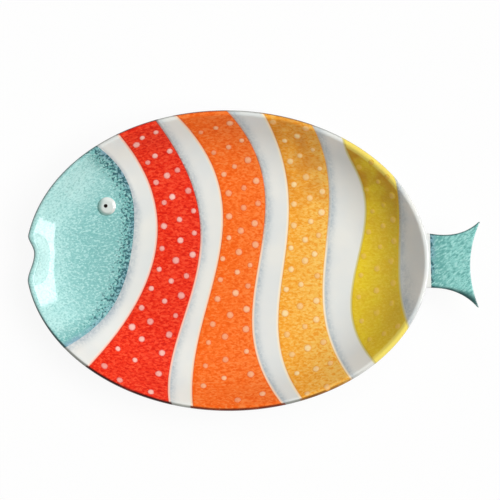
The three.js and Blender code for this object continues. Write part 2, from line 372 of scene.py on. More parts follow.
@dataclass(frozen=True)
class DishForm:
    """The dish's section and oval plan, from which every surface on it is worked out.

    The section is a line at half thickness: a flat floor, an arc, a straight slope and the middle of
    a half-round lip. A place on it has an inset from the rim, a level and a tilt. Points of the upper
    side have an unfolded inset, which runs on round the lip as a length of its arc."""

    half_length: float = 177.85 * MM
    half_width: float = 132.38 * MM
    height: float = 40 * MM
    thickness: float = 5.5 * MM
    slope: float = math.radians(42)
    bend_radius: float = 74 * MM
    foot_height: float = 5 * MM
    mouth_depth: float = 7.2 * MM
    mouth_dip: float = 4 * MM
    mouth_raise: float = 3.5 * MM
    mouth_above: float = 17 * MM
    mouth_below: float = 25.5 * MM
    mouth_reach: float = 25 * MM
    hollow_half: float = 22.5 * MM
    hollow_raise: float = -0.6 * MM
    hollow_reach: float = 14.2 * MM
    hollow_soft: float = 1.1 * MM
    hollow_start: float = 2.4 * MM
    coat_end_tilt: float = math.radians(-100)
    # Painted shade on the outside of the lip: how much earlier it sets in away from the eye, where it
    # starts and stops, and how it fades towards the tail.
    lip_shade_lead: float = 0.6
    lip_shade_side: Span = (20 * MM, 90 * MM)
    lip_shade_start: Span = (1.2, 1.75)
    lip_shade_stop: Span = (2.5, 2.9)
    lip_shade_ends: Span = (120 * MM, 50 * MM)

    @property
    def middle(self) -> Array:
        """The dish's middle on the table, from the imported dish's tail end."""
        return np.array([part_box("dish_body")[1].x - self.half_length, 0, 0])

    @property
    def half(self) -> float:
        """Half the clay's thickness, which is the lip's radius."""
        return self.thickness / 2

    @property
    def floor_level(self) -> float:
        """Level of the floor's half-thickness line."""
        return self.foot_height + self.half

    @property
    def lip_level(self) -> float:
        """Level of the lip's middle."""
        return self.height - self.half

    @property
    def floor_inset(self) -> float:
        """Inset of the flat floor's edge.

        Returns:
            The lip, the slope's run and the arc's run together.
        """
        bend_rise = self.bend_radius * (1 - math.cos(self.slope))
        slope_run = (self.lip_level - self.floor_level - bend_rise) / math.tan(self.slope)
        return self.half + slope_run + self.bend_radius * math.sin(self.slope)

    @property
    def bend_end(self) -> float:
        """Inset of the upper side where the arc turns into the slope."""
        return self.floor_inset - (self.bend_radius - self.half) * math.sin(self.slope)

    @property
    def lip_start(self) -> float:
        """Inset of the upper side where the slope turns into the lip."""
        return self.half * (1 + math.sin(self.slope))

    @property
    def coat_end(self) -> float:
        """Unfolded inset at which a coat ends, on the outside of the lip."""
        return self.lip_start - self.half * (self.slope - self.coat_end_tilt)

    def section(self, unfolded: Array) -> tuple[Array, Array, Array]:
        """Places of the section under points of the upper side.

        Args:
            unfolded: Unfolded insets.

        Returns:
            Insets, levels and tilts on the half-thickness line.
        """
        arc = self.bend_radius - self.half
        bend_tilt = np.arcsin(np.clip((self.floor_inset - unfolded) / arc, 0, math.sin(self.slope)))
        over_lip = np.maximum(0, self.lip_start - unfolded) / self.half
        on_bend = unfolded > self.bend_end
        run = np.clip(unfolded, self.lip_start, self.bend_end) - self.lip_start
        bend_inset = np.maximum(unfolded, self.floor_inset) - self.bend_radius * np.sin(bend_tilt)
        bend_level = self.floor_level + self.bend_radius * (1 - np.cos(bend_tilt))
        inset = np.where(on_bend, bend_inset, self.half + run)
        level = np.where(on_bend, bend_level, self.lip_level - run * math.tan(self.slope))
        tilt = np.where(on_bend, bend_tilt, self.slope - over_lip)
        return inset, level, tilt

    def pinch(self, x: Array, y: Array, inset: Array) -> Array:
        """How far the mouth moves points: a bell about a point of the lip, (1 - s^2 - t)^2, with s
        along the lip and t down the wall, so that its wall is steepest at the lip.

        Args:
            x, y: Plan position from the dish's middle.
            inset: Inset of the half-thickness line.

        Returns:
            Shares of the mouth's whole depth and dip.
        """
        half = np.where(y > self.mouth_raise, self.mouth_above, self.mouth_below)
        aside = (y - self.mouth_raise) / half
        bell = np.maximum(0, 1 - aside**2 - (inset - self.half) / self.mouth_reach) ** 2
        return np.where(x < 0, bell, 0)

    def hollow(self, x: Array, y: Array, inset: Array) -> Array:
        """Where the coat is paler and duller under the mouth, with painted shade round its edge: t < T (1 -
        s^3)^(1/2), with s along the lip and t down the wall, fading in below the lip.

        Args:
            x, y: Plan position from the dish's middle.
            inset: Inset of the half-thickness line.

        Returns:
            Shares from 0 outside to 1 inside.
        """
        aside = np.minimum(np.abs(y - self.hollow_raise) / self.hollow_half, 1)
        down = inset - self.half
        within = self.hollow_reach * np.sqrt(1 - aside**3) - down
        share = eased(within, -self.hollow_soft, self.hollow_soft) * eased(down, 0.0, self.hollow_start)
        return np.where(x < 0, share, 0)

    def carry(self, place: tuple[Array, Array, Array], lift: Array, cosine: Array, sine: Array) -> Array:
        """Points at places of the section, carried round the oval.

        Args:
            place: Insets, levels and tilts.
            lift: Distance square to the half-thickness line.
            cosine, sine: Position round the oval.

        Returns:
            Points in the frame, with the mouth's pinch.
        """
        inset, level, tilt = place
        reach = inset + lift * np.sin(tilt)
        x = (self.half_length - reach) * cosine
        y = (self.half_width - reach) * sine
        share = self.pinch(x, y, inset)
        z = level + lift * np.cos(tilt) - self.mouth_dip * share
        return np.stack([x + self.mouth_depth * share, y, z], axis=-1) + self.middle

    def unfolded_inset(self, x: Array, y: Array) -> Array:
        """Inset of the oval that passes through each plan point, found by halving.

        Args:
            x, y: Plan position from the dish's middle, on the unfolded upper side.

        Returns:
            Insets, at most that of the flat floor's edge.
        """
        low = np.full(np.shape(x), 2 * self.coat_end)
        high = np.full(np.shape(x), self.floor_inset)
        for _ in range(HALVINGS):
            mid = (low + high) / 2
            outside = (x / (self.half_length - mid)) ** 2 + (y / (self.half_width - mid)) ** 2 > 1
            high = np.where(outside, mid, high)
            low = np.where(outside, low, mid)
        return high

    def laid_on(self, x: Array, y: Array, lift: Array) -> tuple[Array, Array, Array]:
        """Points over the dish's upper side.

        Args:
            x, y: Plan position from the dish's middle, on the unfolded upper side.
            lift: Height above the clay, square to it.

        Returns:
            Points, their distance from where a coat ends on the lip, and their turn over the lip.
        """
        unfolded = self.unfolded_inset(x, y)
        place = self.section(unfolded)
        cosine = x / (self.half_length - unfolded)
        sine = y / (self.half_width - unfolded)
        points = self.carry(place, self.half + lift, cosine, sine)
        return points, unfolded - self.coat_end, self.slope - place[2]

    def crossing(self, line_x: Callable[[Array], Array], side: int) -> Array:
        """Where lines on plan meet the oval on which the coats end.

        Args:
            line_x: Gives the lines' distance along the dish for one y each.
            side: 1 for the side with the eye, -1 for the other.

        Returns:
            One y for each line, found by halving.
        """
        long_radius = self.half_length - self.coat_end
        short_radius = self.half_width - self.coat_end
        near = 0 * line_x(np.zeros(1))
        far = near + short_radius
        for _ in range(HALVINGS):
            mid = (near + far) / 2
            inside = (line_x(side * mid) / long_radius) ** 2 + (mid / short_radius) ** 2 < 1
            near = np.where(inside, mid, near)
            far = np.where(inside, far, mid)
        return side * near

    def gathered(self, turn: Array, points: Array) -> Array:
        """How much painted shade darkens the outside of the lip: a band of turns, which sets in earlier on
        the side away from the eye, where less light falls, times a share that goes to 0 towards the tail,
        where the key light comes from.

        Args:
            turn: Turn over the lip, in radians.
            points: The points themselves.

        Returns:
            Shares from 0 to 1.
        """
        earlier = turn + self.lip_shade_lead * eased(-points[..., 1], *self.lip_shade_side)
        band = eased(earlier, *self.lip_shade_start) * (1 - eased(turn, *self.lip_shade_stop))
        return band * eased(points[..., 0], *self.lip_shade_ends)


class NodeSketch:
    """A shader node tree, with short calls for the nodes that the finishes use."""

    def __init__(self, tree: bpy.types.NodeTree) -> None:
        """Takes the tree to draw in."""
        self.tree = tree

    def feed(self, socket: bpy.types.NodeSocket, value: Value) -> None:
        """Links a socket to another, or sets its value.

        Args:
            socket: Where the value goes.
            value: Another socket, a number or a colour.
        """
        if isinstance(value, bpy.types.NodeSocket):
            self.tree.links.new(value, socket)
        else:
            socket.default_value = value

    def add(self, kind: str, values: dict[str, Value] | None = None, **settings: object) -> bpy.types.Node:
        """New node.

        Args:
            kind: Its type name.
            values: What goes into its named inputs.
            settings: Its own properties.

        Returns:
            The node.
        """
        node = self.tree.nodes.new(kind)
        for name, setting in settings.items():
            setattr(node, name, setting)
        for name, value in (values or {}).items():
            self.feed(node.inputs[name], value)
        return node

    def maths(self, operation: str, first: Value, second: Value) -> bpy.types.NodeSocket:
        """Result of one sum on two values.

        Args:
            operation: The sum's type name.
            first, second: What goes into it.

        Returns:
            The result.
        """
        node = self.add("ShaderNodeMath", operation=operation)
        for socket, value in zip(node.inputs, (first, second)):
            self.feed(socket, value)
        return node.outputs[0]

    def times(self, first: Value, second: Value) -> bpy.types.NodeSocket:
        """Product of two values."""
        return self.maths("MULTIPLY", first, second)

    def mixed(self, share: Value, first: Value, second: Value) -> bpy.types.NodeSocket:
        """Colour between two others.

        Args:
            share: 0 for the first colour and 1 for the second.
            first, second: The colours.

        Returns:
            The mixed colour.
        """
        node = self.add("ShaderNodeMix", data_type="RGBA")
        for index, value in zip(MIX_COLOUR_INPUTS, (share, first, second)):
            self.feed(node.inputs[index], value)
        return node.outputs[MIX_COLOUR_OUTPUT]

    def fade(self, value: Value, start: float, end: float) -> bpy.types.NodeSocket:
        """Smooth step from 0 where the value is `start` to 1 where it is `end`."""
        values = {"Value": value, "From Min": start, "From Max": end}
        return self.add("ShaderNodeMapRange", values, interpolation_type="SMOOTHSTEP").outputs["Result"]

    def noise(self, vector: Value, scale: Value, detail: float, twist: float = 0.0) -> bpy.types.NodeSocket:
        """Cloudy noise of a scale, about 0.5."""
        values = {"Vector": vector, "Scale": scale, "Detail": detail, "Distortion": twist}
        return self.add("ShaderNodeTexNoise", values).outputs[0]

    def mark(self, mark: Mark) -> bpy.types.NodeSocket:
        """Value that a piece keeps on its points."""
        return self.add("ShaderNodeAttribute", attribute_name=mark.value).outputs["Fac"]

    def place(self) -> bpy.types.NodeSocket:
        """Object coordinates, in metres."""
        return self.add("ShaderNodeTexCoord").outputs["Object"]

    def axes(self) -> bpy.types.NodeOutputs:
        """Object coordinates one by one: X, Y and Z."""
        return self.add("ShaderNodeSeparateXYZ", {"Vector": self.place()}).outputs

    def effect(self, tree: bpy.types.NodeTree, values: dict[str, Value]) -> bpy.types.NodeOutputs:
        """A shared effect with what goes into it, for its outputs."""
        return self.add("ShaderNodeGroup", values, node_tree=tree).outputs

    def surface(self, shader: bpy.types.Node) -> None:
        """Makes a shader the material's surface."""
        output = self.add("ShaderNodeOutputMaterial")
        self.feed(output.inputs["Surface"], shader.outputs[0])


@dataclass(frozen=True)
class Effect:
    """The sockets of a shader node group."""

    name: str
    inputs: dict[str, Socket]
    outputs: dict[str, Socket]

    def begin(self) -> tuple[NodeSketch, dict[str, bpy.types.NodeSocket], bpy.types.Node]:
        """Empty group with its sockets.

        Returns:
            A sketch of the group, its inputs by name, and its output node.
        """
        tree = bpy.data.node_groups.new(self.name, "ShaderNodeTree")
        for direction, sockets in (("INPUT", self.inputs), ("OUTPUT", self.outputs)):
            for name, kind in sockets.items():
                tree.interface.new_socket(name, in_out=direction, socket_type=kind.value)
        sketch = NodeSketch(tree)
        given = sketch.add("NodeGroupInput").outputs
        return sketch, {name: given[name] for name in self.inputs}, sketch.add("NodeGroupOutput")


@dataclass(frozen=True)
class CurdledGlaze:
    """Effect of a thick glaze that has curdled into deep and pale grains, with broad clouds."""

    detail: float = 2.0
    twist: float = 0.6
    deep: Span = (0.5, 0.36)
    pale: Span = (0.5, 0.64)
    cloud: Span = (0.3, 0.7)

    def group(self) -> bpy.types.NodeTree:
        """The effect's nodes. The grains' noise is turned and stretched first.

        Returns:
            The group. Deep and Pale are the low and the high parts of one twisted noise, Cloud is slow
            noise, and Height is the twisted noise itself.
        """
        vectors = dict.fromkeys(("Place", "Stretch"), Socket.VECTOR)
        inputs = {**vectors, **dict.fromkeys(("Turn", "Grain Scale", "Cloud Scale"), Socket.FLOAT)}
        outputs = dict.fromkeys(("Deep", "Pale", "Cloud", "Height"), Socket.FLOAT)
        sketch, given, out = Effect("curdled_glaze", inputs, outputs).begin()
        turning = {"Vector": given["Place"], "Angle": given["Turn"]}
        turned = sketch.add("ShaderNodeVectorRotate", turning, rotation_type="Z_AXIS").outputs[0]
        stretched = sketch.add("ShaderNodeVectorMath", operation="MULTIPLY")
        sketch.feed(stretched.inputs[0], turned)
        sketch.feed(stretched.inputs[1], given["Stretch"])
        grain = sketch.noise(stretched.outputs[0], given["Grain Scale"], self.detail, self.twist)
        cloud = sketch.noise(given["Place"], given["Cloud Scale"], self.detail)
        sketch.feed(out.inputs["Deep"], sketch.fade(grain, *self.deep))
        sketch.feed(out.inputs["Pale"], sketch.fade(grain, *self.pale))
        sketch.feed(out.inputs["Cloud"], sketch.fade(cloud, *self.cloud))
        sketch.feed(out.inputs["Height"], grain)
        return sketch.tree


@dataclass(frozen=True)
class DrawnBorder:
    """Effect of a stripe's border: a dark line just inside its edge and a warm halo outside, which fades
    into the white and turns to shade behind, on the side of the dish with the eye. Distances from the
    edge are in millimetres, as its mark is."""

    behind: Span = (0.45, 0.55)
    shaded_side: Span = (0.0, 45 * MM)
    clouds: Span = (-0.8, 0.9)
    grains: Span = (0.25, 0.6)
    shading: float = 0.6
    halo_end: Span = (-0.6, -2.0)
    drawing: float = 0.6
    shaded_drawing: float = 0.3
    line: Span = (1.2, 0.2)
    field_end: Span = (0.7, -0.5)

    def group(self) -> bpy.types.NodeTree:
        """The effect's nodes.

        Returns:
            The group. It reads the distance in from the edge, in millimetres, and the share across.
        """
        colours = dict.fromkeys(("Colour", "Line", "Halo", "Shade", "White", "Wash"), Socket.COLOUR)
        values = dict.fromkeys(("Edge", "Across", "Cloud", "Grain"), Socket.FLOAT)
        inputs = {**colours, **values, "Place": Socket.VECTOR}
        sketch, given, out = Effect("drawn_border", inputs, {"Colour": Socket.COLOUR}).begin()
        edge = given["Edge"]
        side = sketch.add("ShaderNodeSeparateXYZ", {"Vector": given["Place"]}).outputs["Y"]
        behind = sketch.fade(given["Across"], *self.behind)
        shaded = sketch.times(behind, sketch.fade(side, *self.shaded_side))
        outside = sketch.mixed(behind, given["White"], given["Wash"])
        clouded = sketch.fade(given["Cloud"], *self.clouds)
        broken = sketch.times(clouded, sketch.fade(given["Grain"], *self.grains))
        rim = sketch.mixed(shaded, given["Halo"], outside)
        shadow = sketch.times(sketch.times(shaded, broken), self.shading)
        rim = sketch.mixed(shadow, rim, given["Shade"])
        rim = sketch.mixed(sketch.fade(edge, *self.halo_end), rim, outside)
        drawing = sketch.maths("ADD", self.drawing, sketch.times(shaded, self.shaded_drawing))
        drawn = sketch.times(sketch.fade(edge, *self.line), sketch.times(broken, drawing))
        lined = sketch.mixed(drawn, given["Colour"], given["Line"])
        sketch.feed(out.inputs["Colour"], sketch.mixed(sketch.fade(edge, *self.field_end), lined, rim))
        return sketch.tree


@dataclass(frozen=True)
class PaintedEdgeShade:
    """Effect of painted shade over an edge: a share of a dark colour, broken up by clouds."""

    clouds: Span = (-1.2, 0.6)

    def group(self) -> bpy.types.NodeTree:
        """The effect's nodes.

        Returns:
            The group. It reads the share of painted shade.
        """
        colours = dict.fromkeys(("Colour", "Dark"), Socket.COLOUR)
        inputs = {**colours, **dict.fromkeys(("Share", "Cloud"), Socket.FLOAT)}
        sketch, given, out = Effect("painted_edge_shade", inputs, {"Colour": Socket.COLOUR}).begin()
        share = sketch.times(given["Share"], sketch.fade(given["Cloud"], *self.clouds))
        sketch.feed(out.inputs["Colour"], sketch.mixed(share, given["Colour"], given["Dark"]))
        return sketch.tree


@dataclass(frozen=True)
class GlazeGloss:
    """Gloss and relief of a fired surface. Its own values are those that the glazes share."""

    roughness: float = 0.06
    ior: float = 1.5
    bump: float = 0.1
    bump_depth: float = 0.3 * MM

    def finish(
        self, sketch: NodeSketch, colour: Value, height: Value | None, dull: Value | None = None,
    ) -> None:
        """Adds the shader to a material.

        Args:
            sketch: The material's nodes.
            colour: The glaze's colour.
            height: The surface's height share, or nothing for a plain one.
            dull: How much rougher it is from place to place, or nothing for an even gloss.
        """
        values = {"Base Color": colour, "Roughness": self.roughness, "IOR": self.ior}
        shader = sketch.add("ShaderNodeBsdfPrincipled", values)
        if dull is not None:
            sketch.feed(shader.inputs["Roughness"], sketch.maths("ADD", dull, self.roughness))
        if height is not None:
            relief = {"Strength": self.bump, "Distance": self.bump_depth, "Height": height}
            sketch.feed(shader.inputs["Normal"], sketch.add("ShaderNodeBump", relief).outputs["Normal"])
        sketch.surface(shader)


def new_material(name: str) -> tuple[bpy.types.Material, NodeSketch]:
    """Empty node material.

    Args:
        name: Its name.

    Returns:
        The material and a sketch of its nodes.
    """
    material = bpy.data.materials.new(name)
    material.use_nodes = True
    material.node_tree.nodes.clear()
    return material, NodeSketch(material.node_tree)


class Workshop:
    """The shared effects, made once, and the gloss."""

    def __init__(self) -> None:
        """Makes each node group."""
        self.curdle = CurdledGlaze().group()
        self.border = DrawnBorder().group()
        self.edge_shade = PaintedEdgeShade().group()
        self.gloss = GlazeGloss()

    def curdled(
        self, sketch: NodeSketch, grain: float, cloud: float, stretch: float = 1.0, turn: float = 0.0
    ) -> bpy.types.NodeOutputs:
        """Curdled glaze in a material.

        Args:
            sketch: The material's nodes.
            grain, cloud: Scales to the metre.
            stretch: How many times longer than wide the grains are.
            turn: Angle that turns their length away from the dish's.

        Returns:
            The effect's outputs.
        """
        scales = {"Grain Scale": grain, "Cloud Scale": cloud}
        shape = {"Stretch": (1.0, stretch, stretch), "Turn": turn}
        return sketch.effect(self.curdle, {"Place": sketch.place(), **scales, **shape})

    def gathered(
        self, sketch: NodeSketch, colour: Value, dark: Colour, cloud: Value,
    ) -> bpy.types.NodeSocket:
        """Colour of a material with painted shade where the piece's marks say so."""
        values = {"Colour": colour, "Dark": dark, "Share": sketch.mark(Mark.PAINTED_SHADE), "Cloud": cloud}
        return sketch.effect(self.edge_shade, values)["Colour"]


WHITE = srgb(234, 234, 229)
WASHED_WHITE = srgb(201, 206, 207)


@dataclass(frozen=True)
class StripeGlaze:
    """A coloured glaze of a stripe, with the colour of its dots."""

    slot: Slot
    front: Colour
    back: Colour
    deep: Colour
    pale: Colour
    tint: Colour
    line: Colour
    halo: Colour
    shade: Colour
    # Colour of the painted shade over the lip.
    dark: Colour
    dot: Colour
    # Darker colour round a dot's foot, painted as shade; it also shows where a dot's glaze breaks.
    ring: Colour
    grain_scale: float = 300.0
    grain_stretch: float = 1.8
    cloud_scale: float = 55.0
    depth: float = 0.8
    paleness: float = 0.6
    tinting: float = 0.4
    stain: Colour = srgb(196, 132, 34)
    staining: float = 0.0
    stain_side: Span = (20 * MM, 80 * MM)
    # Painted highlight: a paler colour on the lip, where the light falls bright.
    lip: Colour = srgb(255, 238, 120)
    lip_highlighting: float = 0.0
    lip_levels: Span = (37.4 * MM, 39 * MM)
    dot_cover: float = 1.0
    dot_breaking: float = 0.15
    dot_fineness: float = 2.0

    def material(self, shop: Workshop) -> bpy.types.Material:
        """Finish of the coat: front to back colour, curdled and bordered, with painted shade over the lip
        and, where set, a paler painted highlight on the lip.

        Args:
            shop: The shared effects.

        Returns:
            The material.
        """
        material, sketch = new_material(self.slot.value)
        curdle = shop.curdled(sketch, self.grain_scale, self.cloud_scale, self.grain_stretch)
        across = sketch.mark(Mark.ACROSS)
        colour = sketch.mixed(across, self.front, self.back)
        colour = sketch.mixed(sketch.times(curdle["Cloud"], self.tinting), colour, self.tint)
        colour = sketch.mixed(sketch.times(curdle["Deep"], self.depth), colour, self.deep)
        colour = sketch.mixed(sketch.times(curdle["Pale"], self.paleness), colour, self.pale)
        if self.staining:
            side = sketch.fade(sketch.axes()["Y"], *self.stain_side)
            patches = sketch.times(side, curdle["Cloud"])
            colour = sketch.mixed(sketch.times(patches, self.staining), colour, self.stain)
        # Painted highlight on the lip.
        if self.lip_highlighting:
            lip = sketch.fade(sketch.axes()["Z"], *self.lip_levels)
            colour = sketch.mixed(sketch.times(lip, self.lip_highlighting), colour, self.lip)
        border = {
            "Colour": colour,
            "Edge": sketch.mark(Mark.EDGE),
            "Across": across,
            "Cloud": curdle["Cloud"],
            "Grain": curdle["Height"],
            "Place": sketch.place(),
            "Line": self.line,
            "Halo": self.halo,
            "Shade": self.shade,
            "White": WHITE,
            "Wash": WASHED_WHITE,
        }
        colour = sketch.effect(shop.border, border)["Colour"]
        colour = shop.gathered(sketch, colour, self.dark, curdle["Cloud"])
        shop.gloss.finish(sketch, colour, curdle["Height"])
        return material

    def dot_material(self, shop: Workshop) -> bpy.types.Material:
        """Finish of the dots: a pale glaze that thins at its foot and breaks in grains over a darker ring
        colour, which round the foot is painted shade of the dome.

        Args:
            shop: The shared effects.

        Returns:
            The material.
        """
        material, sketch = new_material(f"{self.slot.value}_dots")
        curdle = shop.curdled(sketch, self.dot_fineness * self.grain_scale, self.cloud_scale)
        cover = sketch.times(sketch.mark(Mark.PALENESS), self.dot_cover)
        uneven = sketch.maths("SUBTRACT", cover, sketch.times(curdle["Deep"], self.dot_breaking))
        shop.gloss.finish(sketch, sketch.mixed(uneven, self.ring, self.dot), curdle["Height"])
        return material


@dataclass(frozen=True)
class TurquoiseGlaze:
    """The grainy turquoise of the head and tail, deeper towards one edge, with dark specks and blue along
    it. In the hollow of the mouth it is paler and duller, with painted shade of a crease round it.
    Distances from the edge are in millimetres, as its mark is."""

    name: str = "turquoise_glaze"
    colour: Colour = srgb(172, 223, 221)
    deep: Colour = srgb(104, 174, 172)
    pale: Colour = srgb(204, 242, 239)
    # Paler colour of the hollow under the mouth.
    thin: Colour = srgb(216, 236, 236)
    speck: Colour = srgb(58, 104, 112)
    fringe: Colour = srgb(130, 164, 186)
    # Colour of the painted shade over the lip and along the tail's sides.
    dark: Colour = srgb(46, 84, 84)
    depth: float = 0.4
    paleness: float = 0.5
    clouding: float = 0.3
    hollow_paling: float = 0.14
    dulling: float = 0.42
    # Painted shade of a crease round the hollow under the mouth.
    crease_shading: float = 2.2
    pooling: float = 0.62
    pool_top: float = 27 * MM
    pool_floor: float = 10.5 * MM
    deepening: float = 0.85
    deep_from: float = 26.0
    deep_to: float = 4.0
    grain_scale: float = 430.0
    grain_stretch: float = 1.5
    grain_turn: float = 0.0
    cloud_scale: float = 45.0
    fringe_span: Span = (7.0, 0.5)
    fringing: float = 0.85
    fringe_width: float = 20.0
    speck_scale: float = 480.0
    speck_detail: float = 1.0
    speck_cut: Span = (0.6, 0.76)
    speck_gain: float = 0.185
    speck_rise: Span = (0.0, 0.5)
    speck_faintest: float = 0.2
    speck_growth: float = 0.78
    speck_eye_end: Span = (125 * MM, 85 * MM)
    speck_far_end: Span = (-80 * MM, -30 * MM)

    def material(self, shop: Workshop) -> bpy.types.Material:
        """Finish of the coat: curdled, with specks that thicken towards the edge.

        Args:
            shop: The shared effects.

        Returns:
            The material.
        """
        material, sketch = new_material(self.name)
        scales = self.grain_scale, self.cloud_scale, self.grain_stretch, self.grain_turn
        curdle = shop.curdled(sketch, *scales)
        edge = sketch.mark(Mark.EDGE)
        axes = sketch.axes()
        deeper = sketch.times(sketch.fade(edge, self.deep_from, self.deep_to), self.deepening)
        pooled = sketch.times(sketch.fade(axes["Z"], self.pool_top, self.pool_floor), self.pooling)
        colour = sketch.mixed(sketch.times(curdle["Cloud"], self.clouding), self.colour, self.pale)
        colour = sketch.mixed(sketch.maths("MAXIMUM", deeper, pooled), colour, self.deep)
        colour = sketch.mixed(sketch.times(curdle["Deep"], self.depth), colour, self.deep)
        colour = sketch.mixed(sketch.times(curdle["Pale"], self.paleness), colour, self.pale)
        dull = None
        if self.dulling:
            in_hollow = sketch.mark(Mark.PALENESS)
            colour = sketch.mixed(sketch.times(in_hollow, self.hollow_paling), colour, self.thin)
            # Painted shade: a darker outline round the hollow, where a crease would shade.
            crease_shade = sketch.times(in_hollow, sketch.fade(in_hollow, 1.0, 0.0))
            colour = sketch.mixed(sketch.times(crease_shade, self.crease_shading), colour, self.deep)
            dull = sketch.times(in_hollow, self.dulling)
        eye_end = sketch.fade(axes["Y"], *self.speck_eye_end)
        ends = sketch.times(eye_end, sketch.fade(axes["Y"], *self.speck_far_end))
        near_edge = sketch.times(sketch.fade(edge, self.fringe_width, 0.0), ends)
        at_edge = sketch.times(sketch.fade(edge, *self.fringe_span), curdle["Cloud"])
        colour = sketch.mixed(sketch.times(at_edge, self.fringing), colour, self.fringe)
        specks = sketch.noise(sketch.place(), self.speck_scale, self.speck_detail)
        cover = sketch.maths("ADD", specks, sketch.times(near_edge, self.speck_gain))
        growth = sketch.times(sketch.fade(near_edge, *self.speck_rise), self.speck_growth)
        strength = sketch.maths("ADD", self.speck_faintest, growth)
        specked = sketch.times(sketch.fade(cover, *self.speck_cut), strength)
        colour = sketch.mixed(specked, colour, self.speck)
        colour = shop.gathered(sketch, colour, self.dark, curdle["Cloud"])
        shop.gloss.finish(sketch, colour, curdle["Height"], dull)
        return material


@dataclass(frozen=True)
class WhiteGlaze:
    """The white glaze of the clay, with a blue-grey wash where a field ends, which behind the last field
    also stands as painted shade on the wall away from the eye. The wash's span is in millimetres, as its
    mark is."""

    slot: Slot = Slot.WHITE
    colour: Colour = WHITE
    cool: Colour = srgb(226, 229, 228)
    wash: Colour = srgb(152, 168, 180)
    # Teal of the eye's rim: turquoise run-up with painted shade.
    run: Colour = srgb(124, 172, 166)
    # Grey of the painted shade over the lip.
    dark: Colour = srgb(150, 152, 146)
    grain_scale: float = 420.0
    cloud_scale: float = 30.0
    wash_span: Span = (12.0, 0.8)
    wash_clouds: Span = (-1.0, 1.0)
    wash_grains: Span = (-0.1, 0.9)

    def material(self, shop: Workshop) -> bpy.types.Material:
        """Finish of the clay pieces: faintly clouded white, washed, and with painted grey shade over the
        lip. On the eye's rim the marks add teal: turquoise run-up with painted shade away from the light,
        and less of it towards the light as a painted highlight.

        Args:
            shop: The shared effects.

        Returns:
            The material.
        """
        material, sketch = new_material(self.slot.value)
        curdle = shop.curdled(sketch, self.grain_scale, self.cloud_scale)
        colour = sketch.mixed(curdle["Cloud"], self.colour, self.cool)
        near = sketch.fade(sketch.mark(Mark.WASH_AND_SHADE), *self.wash_span)
        uneven = sketch.fade(curdle["Cloud"], *self.wash_clouds)
        grainy = sketch.fade(curdle["Height"], *self.wash_grains)
        strength = sketch.times(sketch.times(near, near), sketch.times(uneven, grainy))
        colour = sketch.mixed(strength, colour, self.wash)
        # Teal on the eye's rim: turquoise run-up and painted shade, with a whiter painted highlight where
        # it is least.
        colour = sketch.mixed(sketch.mark(Mark.RUN_AND_SHADE), colour, self.run)
        colour = shop.gathered(sketch, colour, self.dark, curdle["Cloud"])
        shop.gloss.finish(sketch, colour, None)
        return material


@dataclass(frozen=True)
class BareClay:
    """Unglazed buff clay of the foot."""

    slot: Slot = Slot.CLAY
    colour: Colour = srgb(216, 195, 165)
    speck: Colour = srgb(170, 132, 96)
    grain_scale: float = 900.0
    cloud_scale: float = 120.0
    gloss: GlazeGloss = GlazeGloss(roughness=0.85, bump=0.5, bump_depth=0.2 * MM)

    def material(self, shop: Workshop) -> bpy.types.Material:
        """Finish of the foot: grainy, with darker specks of grog.

        Args:
            shop: The shared effects.

        Returns:
            The material.
        """
        material, sketch = new_material(self.slot.value)
        curdle = shop.curdled(sketch, self.grain_scale, self.cloud_scale)
        share = sketch.times(curdle["Deep"], curdle["Cloud"])
        self.gloss.finish(sketch, sketch.mixed(share, self.colour, self.speck), curdle["Height"])
        return material


@dataclass(frozen=True)
class BlackGlaze:
    """Black glaze of the pupil."""

    slot: Slot = Slot.BLACK
    colour: Colour = srgb(18, 15, 14)
    brown: Colour = srgb(52, 40, 34)
    browning: float = 0.4
    grain_scale: float = 1500.0
    cloud_scale: float = 300.0

    def material(self, shop: Workshop) -> bpy.types.Material:
        """Finish of the pupil: black that breaks to brown in specks.

        Args:
            shop: The shared effects.

        Returns:
            The material.
        """
        material, sketch = new_material(self.slot.value)
        curdle = shop.curdled(sketch, self.grain_scale, self.cloud_scale)
        share = sketch.times(curdle["Pale"], self.browning)
        shop.gloss.finish(sketch, sketch.mixed(share, self.colour, self.brown), curdle["Height"])
        return material


@dataclass(frozen=True)
class CoatBuild:
    """How the raised coats are laid."""

    thickness: float = 0.25 * MM
    skim: float = 0.05 * MM
    feather: Span = (-2.1 * MM, -0.9 * MM)
    feathered: float = 0.3
    border: float = 1.4 * MM
    sink: float = 0.08 * MM
    thin: Span = (0.5, 2.0)

    def lift(self, edge: Array, end: Array, turn: Array) -> Array:
        """Coat thickness: a smooth step from a skim at every border, running thin over the lip. The
        skim outside the field's sides is feathered out.

        Args:
            edge: Distance in from the field's sides, below 0 on the skim outside them.
            end: Distance in from the coat's end on the lip.
            turn: Turn over the lip, in radians.

        Returns:
            Heights above the clay.
        """
        full = (self.thickness - self.skim) * (1 - eased(turn, *self.thin))
        skim = self.skim * (self.feathered + (1 - self.feathered) * eased(edge, *self.feather))
        return skim + full * eased(np.minimum(edge, end), 0, self.border)

    def shell(self, dish: DishForm, x: Array, y: Array, edge: Array, marks: dict[Mark, Array]) -> Skin:
        """Closed shell of a coat over a grid of plan points.

        Args:
            dish: The dish that carries it.
            x, y: Plan points from the dish's middle, across x along.
            edge: Their distances in from the field's sides.
            marks: Values on the points.

        Returns:
            The coat.
        """
        bottom, end, turn = dish.laid_on(x, y, np.full_like(x, -self.sink))
        top, _, _ = dish.laid_on(x, y, self.lift(edge, end, turn))
        # The coat takes painted shade over the outside of the lip.
        return Skin.shell(top, bottom, {**marks, Mark.PAINTED_SHADE: dish.gathered(turn, top)})


